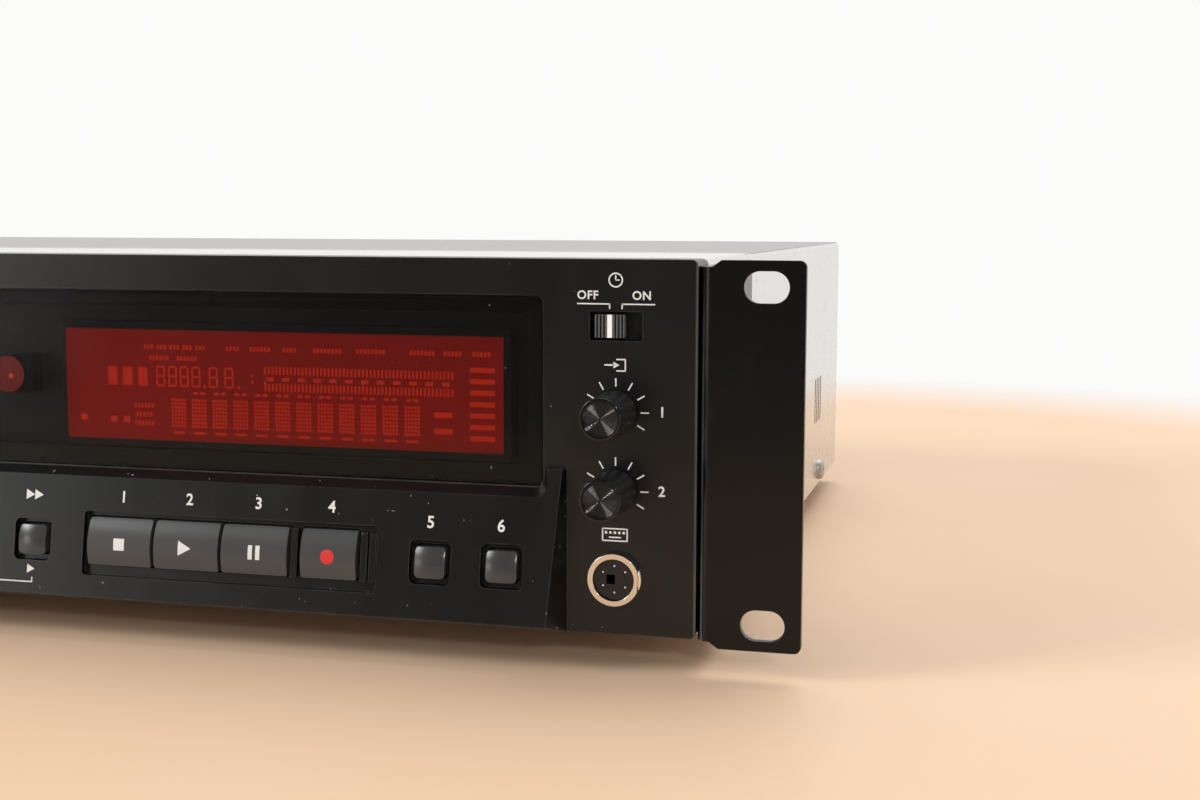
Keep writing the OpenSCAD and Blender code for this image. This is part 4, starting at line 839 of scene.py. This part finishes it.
def closed_mesh(name, grids, sharp=35):
    """Each grid closes on itself: its last column joins the first. Points that meet at a pole become one,
    the faces look outward, and edges that turn more than sharp degrees stay crisp."""
    vertices, faces, start = [], [], 0
    for grid in grids:
        number = np.arange(grid[..., 0].size).reshape(grid.shape[:2]) + start
        faces.append(quads_of(np.concatenate([number, number[:, :1]], 1)))
        vertices.append(grid.reshape(-1, 3))
        start += number.size
    mesh = bpy.data.meshes.new(name)
    mesh.from_pydata(np.concatenate(vertices).tolist(), [], np.concatenate(faces).tolist())
    work = merged(mesh, 0.0000005)
    bmesh.ops.recalc_face_normals(work, faces=work.faces)
    work.to_mesh(mesh)
    work.free()
    mesh.shade_smooth()
    mesh.set_sharp_from_angle(angle=math.radians(sharp))
    return mesh


print("two rings make a grid of", turned(0, 0, [(0, 1), (1, 1)]).shape[:2], "points")

# %% The level knobs
GROOVE = 0.24
SWING = 0.028
SAMPLES = 6
DISH = 0.3
KNOB_R = 5.0
KNOB_TAPER = 0.2
KNOB_LIP = 0.3
SKIRT_END = -0.6
SPINDLE_R = 3.0


def knob_profile(front, end):
    """From the axis outward: depth = front + dish + swing x sin(2 pi r / groove) to the lip, the lip's flat
    top, a chamfer, the tapered side to the skirt's end, and the spindle to its own."""
    rim = KNOB_R - KNOB_TAPER
    face_r = rim - 2.4 * KNOB_LIP
    radius = np.linspace(0.25, face_r, int(face_r / GROOVE) * SAMPLES)
    depth = front + DISH + SWING * np.sin(2 * math.pi * radius / GROOVE)
    arc = np.linspace(0, math.pi / 2, 5)
    lip = [(front + 0.03, rim - 2.1 * KNOB_LIP), (front, rim - 2 * KNOB_LIP), (front, rim - KNOB_LIP)]
    corner = np.stack([front + KNOB_LIP * (1 - np.cos(arc)), rim - KNOB_LIP * (1 - np.sin(arc))], 1)[1:]
    along = np.linspace(0, 1, 7)[1:, None]
    side = along * [SKIRT_END - front - KNOB_LIP, KNOB_TAPER] + [front + KNOB_LIP, rim]
    tail = [(SKIRT_END, KNOB_R - 0.3), (SKIRT_END, SPINDLE_R), (end, SPINDLE_R), (end, 0)]
    return np.concatenate([[(front + DISH, 0)], np.stack([depth, radius], 1), lip, corner, side, tail])


for node in ("phones_knob", "input_knob_left", "input_knob_right"):
    low, high = corners(node)
    centre = middle(node)
    profile = knob_profile(low[1], high[1])
    shape = closed_mesh(node + "_turned", [turned(centre[0], centre[2], profile)])
    finished(shape, node + "_turned", BODY_OF[node], "knob_plastic", node)
    print(node, len(shape.polygons), "faces in", len(profile), "rings")

# %% [markdown]
# ## Printed marks
#
# The front is screen-printed in white after moulding: ticks round the knobs, brackets at the timer
# switch, signs on the keys and small figures over them. Ink has next to no thickness, so each
# mark is a patch a few hundredths of a millimetre thick that follows what it is printed on. The
# signs are drawn as rows, each from a left to a right end, because then one formula bends
# any of them over a crowned key. The figures come from Blender's own font, made a mesh first.

# %% Surfaces that carry print: depth as a function of x and z
TURN = math.radians(9.5)
CONSOLE_TOP = 40.1
CONSOLE_LIP = 1.6
KEY_Z = 17.8
KEY_CROWN = 14.0
KEY_PROUD = 0.6


def on_bezel(x, z):
    """The bezel's plane: depth 0."""
    return np.zeros_like(x)


def on_console(x, z):
    """The console leans back: depth = -(1.6 + (40.1 - z) tan 9.5 degrees)."""
    return -(CONSOLE_LIP + (CONSOLE_TOP - z) * math.tan(TURN))


def on_key(x, z):
    """A crown of radius 14 about a line along X behind the key: depth = centre - sqrt(14^2 - rise^2)."""
    centre = on_console(x, KEY_Z) - KEY_PROUD + KEY_CROWN * math.cos(TURN)
    rise = z - (KEY_Z - KEY_CROWN * math.sin(TURN))
    return centre - np.sqrt(KEY_CROWN ** 2 - rise ** 2)


print("the keys' middle stands", -round(float(on_key(0, KEY_Z)), 2), "mm proud of the bezel")

# %% Ways to draw on them
CAPITAL = 0.7
INK = 0.03
LIFT = 0.01


def rows(x, z, left, right, low, high, across=4, up=9):
    """A grid from low to high whose row at share t runs from left(t) to right(t)."""
    share = np.linspace(0, 1, up)
    span = np.linspace(0, 1, across)
    first, last = (np.broadcast_to(f(share) if callable(f) else f, share.shape) for f in (left, right))
    grid_x = x + first[:, None] + (last - first)[:, None] * span
    grid_z = z + low + (high - low) * np.broadcast_to(share[:, None], grid_x.shape)
    return np.stack([grid_x, grid_z], -1)


def square_sign(x, z, half=1.45):
    return [rows(x, z, -half, half, -half, half)]


def arrow_sign(x, z, size=1.8, way=1):
    """A triangle: its tip is where the row is at half height."""
    tip = rows(x, z, -0.9 * size, lambda t: -0.9 * size + 1.9 * size * (1 - abs(2 * t - 1)), -size, size)
    return [(tip - [x, 0]) * [way, 1] + [x, 0]]


def pause_sign(x, z):
    return [rows(x + side * 0.98, z, -0.55, 0.55, -1.7, 1.7) for side in (-1, 1)]


def dot_sign(x, z, r=1.75):
    """A disc: half a row's length = r sqrt(1 - (2t - 1)^2)."""
    half = lambda t: r * np.sqrt(np.clip(1 - (2 * t - 1) ** 2, 0, 1))
    return [rows(x, z, lambda t: -half(t), half, -r, r, up=25)]


def strokes(ends, width=0.3, x=0, z=0):
    """Strokes between pairs of points about x, z: each has its long sides half a width off its line."""
    drawn = []
    share = np.linspace(0, 1, 6)[:, None, None]
    for x1, z1, x2, z2 in ends:
        first, last = np.array([x + x1, z + z1]), np.array([x + x2, z + z2])
        ahead = (last - first) / np.linalg.norm(last - first)
        aside = np.array([-ahead[1], ahead[0]]) * width / 2
        start, stop = np.stack([[first - aside, first + aside], [last - aside, last + aside]])
        drawn.append(start * (1 - share) + stop * share)
    return drawn


def figure(text, x, z, height):
    """A short figure in Blender's built-in font, centred on a point, as loose points and faces."""
    curve = bpy.data.curves.new("figure", "FONT")
    curve.body = text
    curve.size = height / CAPITAL
    curve.resolution_u = 4
    curve.offset = 0.02 * curve.size
    curve.space_character = 1.08
    writer = bpy.data.objects.new("figure", curve)
    mesh = bpy.data.meshes.new_from_object(writer)
    points = np.zeros(len(mesh.vertices) * 3)
    mesh.vertices.foreach_get("co", points)
    points = points.reshape(-1, 3)[:, :2]
    points += np.array([x, z]) - (points.min(0) + points.max(0)) / 2
    faces = [list(face.vertices) for face in mesh.polygons]
    bpy.data.objects.remove(writer)
    bpy.data.curves.remove(curve)
    bpy.data.meshes.remove(mesh)
    return points, faces


print("an arrow is a grid of", arrow_sign(0, 0)[0].shape[:2], "points")

# %% Ink on a surface
def thicken(piece, name, way):
    """Gives a flat piece its 0.03 mm, along the normals of its faces where way is 1, against them at -1."""
    layer = piece.modifiers.new(name, "SOLIDIFY")
    layer.thickness = INK * MM
    layer.offset = way


def printed(name, surface, grids, figures=(), body="chassis", finish="white_ink"):
    """Lays grids and figures on a surface, 0.01 mm off it, and gives the ink its thickness outward."""
    numbered = [np.arange(grid[..., 0].size).reshape(grid.shape[:2]) for grid in grids]
    shapes = [(grid.reshape(-1, 2), quads_of(number).tolist()) for grid, number in zip(grids, numbered)]
    vertices, faces, start = [], [], 0
    for points, its_faces in shapes + list(figures):
        faces += [[v + start for v in face] for face in its_faces]
        vertices.append(points)
        start += len(points)
    x, z = np.concatenate(vertices).T
    mesh = bpy.data.meshes.new(name)
    mesh.from_pydata(place(np.stack([x, surface(x, z) - LIFT, z], 1)).tolist(), [], faces)
    work = merged(mesh, 0.000001)
    bmesh.ops.reverse_faces(work, faces=[face for face in work.faces if face.normal.y > 0])
    work.to_mesh(mesh)
    work.free()
    thicken(finished(mesh, name, body, finish), "ink", 1)
    print(name, len(faces), "faces")


print("ink is", INK, "mm thick,", LIFT, "mm off what carries it")

# %% Signs on the keys, marks on the console
SIGN_Z = 17.4
SIGNS = {"stop": (square_sign, 74.5, "white_ink"), "play": (arrow_sign, 92.2, "white_ink"),
         "pause": (pause_sign, 110.7, "white_ink"), "record": (dot_sign, 129.7, "red_ink")}
for key, (sign, x, colour) in SIGNS.items():
    printed(key + "_sign", on_key, sign(x, SIGN_Z), body=BODY_OF[key + "_button"],
            finish=colour)

ARROWS = ((48.9, 28.4, 1.25), (51.3, 28.4, 1.25), (50.1, 10.2, 1.1),
          (31.8, 28.4, 1.25, -1), (29.4, 28.4, 1.25, -1), (30.6, 10.2, 1.1, -1))
SEARCH_BRACKET = ((32.6, 7.0, 50.7, 7.0), (50.6, 6.9, 50.6, 8.2), (32.7, 6.9, 32.7, 8.2))
KEY_FIGURES = (("1", 74.9, 28.9), ("2", 92.8, 29.1), ("3", 111.1, 29.0), ("4", 130.1, 29.1),
               ("5", 155.1, 26.7), ("6", 172.4, 26.7))
marks = sum([arrow_sign(*arrow) for arrow in ARROWS], []) + strokes(SEARCH_BRACKET)
printed("console_print", on_console, marks, [figure(*spot, 2.7) for spot in KEY_FIGURES])


# %% Marks of the right and left column
def tick_ring(x, z, first=5.8, last=7.75, count=9):
    """Nine strokes from radius 5.8 to 7.75 mm, every 30 degrees from -120 to 120 about straight up."""
    ways = [(math.sin(a), math.cos(a)) for a in np.radians(np.linspace(-120, 120, count))]
    return strokes([(s * first, c * first, s * last, c * last) for s, c in ways], 0.34, x, z)


def clock_sign(x, z, r=1.7):
    """A ring of 24 sides with two hands, for the timer."""
    turn = np.linspace(0, 2 * math.pi, 25)
    ring = np.stack([np.stack([x + s * np.cos(turn), z + s * np.sin(turn)], -1) for s in (r - 0.32, r)])
    return [ring] + strokes(((0, -0.1, 0, 1.1), (-0.1, 0, 0.9, 0)), 0.3, x, z)


def into_sign(x, z):
    """An arrow that runs into an open box, for the input."""
    box = strokes(((0.2, 1.3, 2.4, 1.3), (2.3, 1.3, 2.3, -1.3), (2.4, -1.3, 0.2, -1.3)), 0.32, x, z)
    return box + strokes([(-2.6, 0, -0.3, 0)], 0.36, x, z) + arrow_sign(x + 0.2, z, 0.75)


def keys_sign(x, z):
    """A frame with two rows of keys in it, for the keyboard socket."""
    frame_lines = ((-2.9, -1.4, 2.9, -1.4), (-2.9, 1.4, 2.9, 1.4), (-2.9, -1.5, -2.9, 1.5),
                   (2.9, -1.5, 2.9, 1.5), (-1.4, -0.6, 1.4, -0.6))
    keys = [rows(x + n * 1.05, z + 0.5, -0.28, 0.28, -0.28, 0.28, 2, 2) for n in (-2, -1, 0, 1, 2)]
    return strokes(frame_lines, 0.3, x, z) + keys


TIMER_BRACKETS = ((189.4, 78.0, 197.1, 78.0), (197.0, 78.1, 197.0, 76.9),
                  (199.8, 78.0, 207.5, 78.0), (199.9, 78.1, 199.9, 76.9))
marks = tick_ring(198.5, 53.5) + tick_ring(198.5, 35.4) + tick_ring(-198.5, 35.4) + strokes(TIMER_BRACKETS)
marks += clock_sign(198.4, 83.4) + into_sign(198.4, 64.2) + keys_sign(198.4, 25.2)
COLUMN_FIGURES = (("OFF", 191.9, 80.0, 1.9), ("ON", 204.4, 80.0, 1.9), ("1", 209.3, 53.8, 2.3),
                  ("2", 209.3, 35.7, 2.3))
printed("column_print", on_bezel, marks, [figure(*spot) for spot in COLUMN_FIGURES])

# %% [markdown]
# ## Segments of the tube
#
# A fluorescent tube shows its segments even when they are off: pale phosphor on a dark ground.
# Their red glow here is painted light. Here are twelve cells of 5 by 8 dots with a bar below each,
# two level scales, a row of digits and small blocks where a real one has its labels. They are flat
# quadrilaterals on the tube's front, all in one mesh. As geometry they stay sharp from close up,
# which a noise would not.

# %% Dots, scales, digits and bars
TUBE_FRONT = 3.76
CELLS = 86.4 + 5.58 * np.arange(12)
SCALE = 109.9 + 0.98 * np.arange(50)
LABELS = ((101.3, 65.4, 4), (108.6, 65.4, 6), (116.4, 65.4, 4), (126.2, 65.4, 8), (137.4, 65.5, 8),
          (150.4, 65.5, 7), (158.0, 65.5, 5), (165.2, 65.5, 5), (81.3, 62.7, 6), (88.9, 62.7, 6),
          (76.9, 46.4, 6), (76.9, 48.6, 5), (76.9, 50.8, 6))


def bars(spots, width, height):
    """One quadrilateral for each centre in spots: corners at plus and minus half the width and height."""
    half = np.array([[-1, -1], [1, -1], [1, 1], [-1, 1]]) * [width / 2, height / 2]
    return np.array(spots, float).reshape(-1, 1, 2) + half


def digit(x, z, width=2.5, height=5.2, thick=0.5):
    """Seven bars of a digit: three level ones and four upright ones."""
    level = [(x, z + n * (height - thick) / 2) for n in (-1, 0, 1)]
    upright = [(x + side * (width - thick) / 2, z + end * (height - thick) / 4)
               for side in (-1, 1) for end in (-1, 1)]
    return [bars(level, width - 1.3 * thick, thick), bars(upright, thick, height / 2 - 1.1 * thick)]


def label(x, z, letters, pitch=0.95):
    """Small blocks in a row, one for each letter of a real label, centred on a point."""
    return bars([(x + (n - (letters - 1) / 2) * pitch, z) for n in range(letters)], 0.62, 1.15)


column, row = np.meshgrid(np.arange(5) - 2, np.arange(8) - 3.5)
dots = np.stack([column.ravel() * 0.82, row.ravel() * 0.92], 1)
quads = [bars(dots + [x, 49.2], 0.62, 0.68) for x in CELLS]
quads += [bars([(x, 44.3) for x in CELLS], 3.1, 0.6)]
quads += [bars([(x - 0.9, 54.2), (x + 1.0, 54.2)], 1.3, 0.65) for x in CELLS[1:]]
quads += [bars([(x, z) for x in SCALE], 0.52, 1.9) for z in (60.3, 56.2)]
quads += [bars([(111.2 + 4.1 * n, 58.2) for n in range(12)], 1.9, 0.9)]
quads += sum([digit(x, 58.2) for x in (81.7, 84.9, 88.1, 91.3, 96.0, 100.2)], [])
quads += [bars([(93.6, 55.9), (102.8, 55.9), (106.4, 58.9), (106.4, 57.3)], 0.7, 0.7)]
quads += [label(78.6 + 3.5 * n, 65.4, 3) for n in range(5)] + [label(*spot) for spot in LABELS]
quads += [bars([(68.4, 47.2), (72.0, 47.2), (60.1, 47.4)], 1.8, 1.5)]
quads += [bars([(68.4 + 4.2 * n, 58.0) for n in range(3)], 2.6, 4.6)]
quads += [bars([(165.4, 45.6 + 2.7 * n) for n in range(7)], 6.2, 1.2)]
quads += [bars([(155.6, 47.0), (155.6, 50.9)], 4.6, 1.3)]

x, z = np.concatenate(quads).reshape(-1, 2).T
mesh = bpy.data.meshes.new("display_segments")
mesh.from_pydata(place(np.stack([x, np.full(x.shape, TUBE_FRONT), z], 1)).tolist(), [],
                 np.arange(len(x)).reshape(-1, 4).tolist())
thicken(finished(mesh, "display_segments", "chassis", "segment_phosphor"), "phosphor", -1)
print(len(x) // 4, "segments")

# %% [markdown]
# ## Contacts of the keyboard socket
#
# Six sprung contacts sit in the insert's holes. Only their tips show, each as a spark of metal in a
# black hole, so each is a pin with a round tip, turned from a short profile.

# %% Contact pins
PIN_RING = 3.1
PIN_R = 0.3
PIN_TIP = -0.98
PIN_END = 4.95
bend = np.linspace(0, math.pi / 2, 5)
tip = np.stack([PIN_TIP + PIN_R * (1 - np.cos(bend)), PIN_R * np.sin(bend)], 1)
pin = np.concatenate([tip, [(PIN_END, PIN_R), (PIN_END, 0)]])
socket_x, socket_z = middle("keyboard_insert")[[0, 2]]
pins = [turned(socket_x + PIN_RING * math.cos(a), socket_z + PIN_RING * math.sin(a), pin, around=12)
        for a in np.radians([-150, -90, -35, 35, 90, 150])]
shape = closed_mesh("keyboard_contacts", pins)
finished(shape, "keyboard_contacts", "chassis", "contact_tin")
print(len(pins), "pins of", len(pin), "rings")

# %% [markdown]
# ## Floor and light
#
# The recorder stands on a plain pale floor, with a white wall behind it and a dimmer room in front. Two
# large soft boxes light it at about the level at which a colour renders as written, and the
# world adds an even fill. The camera sees white all round. Mirrored, the wall is white and the
# room grey, which is what makes black plastic look black: its gloss shows whatever stands
# before it. Three small boxes draw the lines on edges and knob faces.

# %% Floor
def floor_finish():
    """Warm and pale round the object, darker towards the camera by painted shade, white beyond. What mirrors
    it sees it dim in front of the object.
    """
    finish = Finish("pale_floor")
    across, along = finish.axis("X") - 0.12, finish.axis("Y")
    camera, glossy, clear = finish.rays("Camera", "Glossy", "Transmission")
    near = finish.step(along, -0.34, -0.56) * (1 - camera)
    tone = finish.between(finish.noise(0.12, 4), (0.80, 0.555, 0.36), (0.86, 0.61, 0.43))
    # Painted shade: the floor grows darker towards the camera.
    tone = finish.between(0.16 * finish.step(along, 0.0, -0.30), tone, (0.2, 0.13, 0.08))
    tone = finish.between(near, tone, (0.20, 0.18, 0.16))
    far = finish.step((across ** 2 + along ** 2) ** 0.5, 0.42, 0.58)
    behind = finish.step(along, -0.30, -0.12)
    finish.white_beyond(far * (camera + behind * (glossy + clear)).clamped())
    finish.surface(tone, 0.55, finish.noise(0.002, 3), 0.00002)


def floor_mesh(reach, steps=9):
    """A flat grid at the feet: x and y each run from -reach to reach."""
    ticks = np.linspace(-reach, reach, steps)
    x, y = np.meshgrid(ticks, ticks)
    points = np.stack([x, y, np.zeros_like(x)], -1).reshape(-1, 3)
    mesh = bpy.data.meshes.new("floor")
    mesh.from_pydata(points.tolist(), [], quads_of(np.arange(x.size).reshape(x.shape)).tolist())
    return mesh


floor = added("floor", floor_mesh(6.0))
floor_finish()
paint(floor, "pale_floor")
print("floor", len(floor.data.polygons), "faces")

# %% Lamps: place, what it looks at, width and height, watts
LAMPS = {
    "key_box": ((-1.80, -1.30, 1.25), (0.05, 0, 0.05), (1.0, 0.85), 38),
    "top_box": ((0.5, 0.7, 2.3), (0.1, 0, 0), (2.2, 1.6), 30),
    "right_box": ((1.03, -1.80, 0.81), (0.2, FACE, 0.05), (0.14, 0.14), 9.0),
    "left_edge": ((-1.10, -1.35, 0.12), (0, FACE, 0.06), (0.4, 0.4), 2.6),
    "low_right": ((1.35, -0.95, 0.16), (0.2, FACE, 0.05), (0.24, 0.30), 1.2),
}
for name, (stand, aim, size, watts) in LAMPS.items():
    lamp = added(name, bpy.data.lights.new(name, "AREA"))
    lamp.data.shape = "RECTANGLE"
    lamp.data.size, lamp.data.size_y = size
    lamp.data.energy = watts
    ahead = np.array(aim, float) - stand
    ahead /= np.linalg.norm(ahead)
    right = np.cross(ahead, (0, 0, 1))
    right /= np.linalg.norm(right)
    lamp.matrix_world = looking(stand, right, np.cross(right, ahead), ahead)
print(len(LAMPS), "lamps")

# %% World
ROOM = 0.14
FILL = 0.55


def studio_world():
    """White to the camera. Mirrored, 0.14 in front and 1 behind, by the Y of the ray's way. As light on the
    object, an even fill of 0.55."""
    world = bpy.data.worlds.new("studio")
    world.use_nodes = True
    room = Nodes(world.node_tree, "Generated")
    camera, glossy, clear = room.rays("Camera", "Glossy", "Transmission")
    behind = room.step(room.axis("Y"), -0.10, 0.15)
    picture = ROOM + (1 - ROOM) * (behind + camera).clamped()
    strength = FILL + (picture - FILL) * (camera + glossy + clear).clamped()
    light = room.node("ShaderNodeBackground", {}, {"Color": WHITE, "Strength": strength})
    room.node("ShaderNodeOutputWorld", {}, {"Surface": light}, None)
    bpy.context.scene.world = world


studio_world()
print("stage ready")

# %% [markdown]
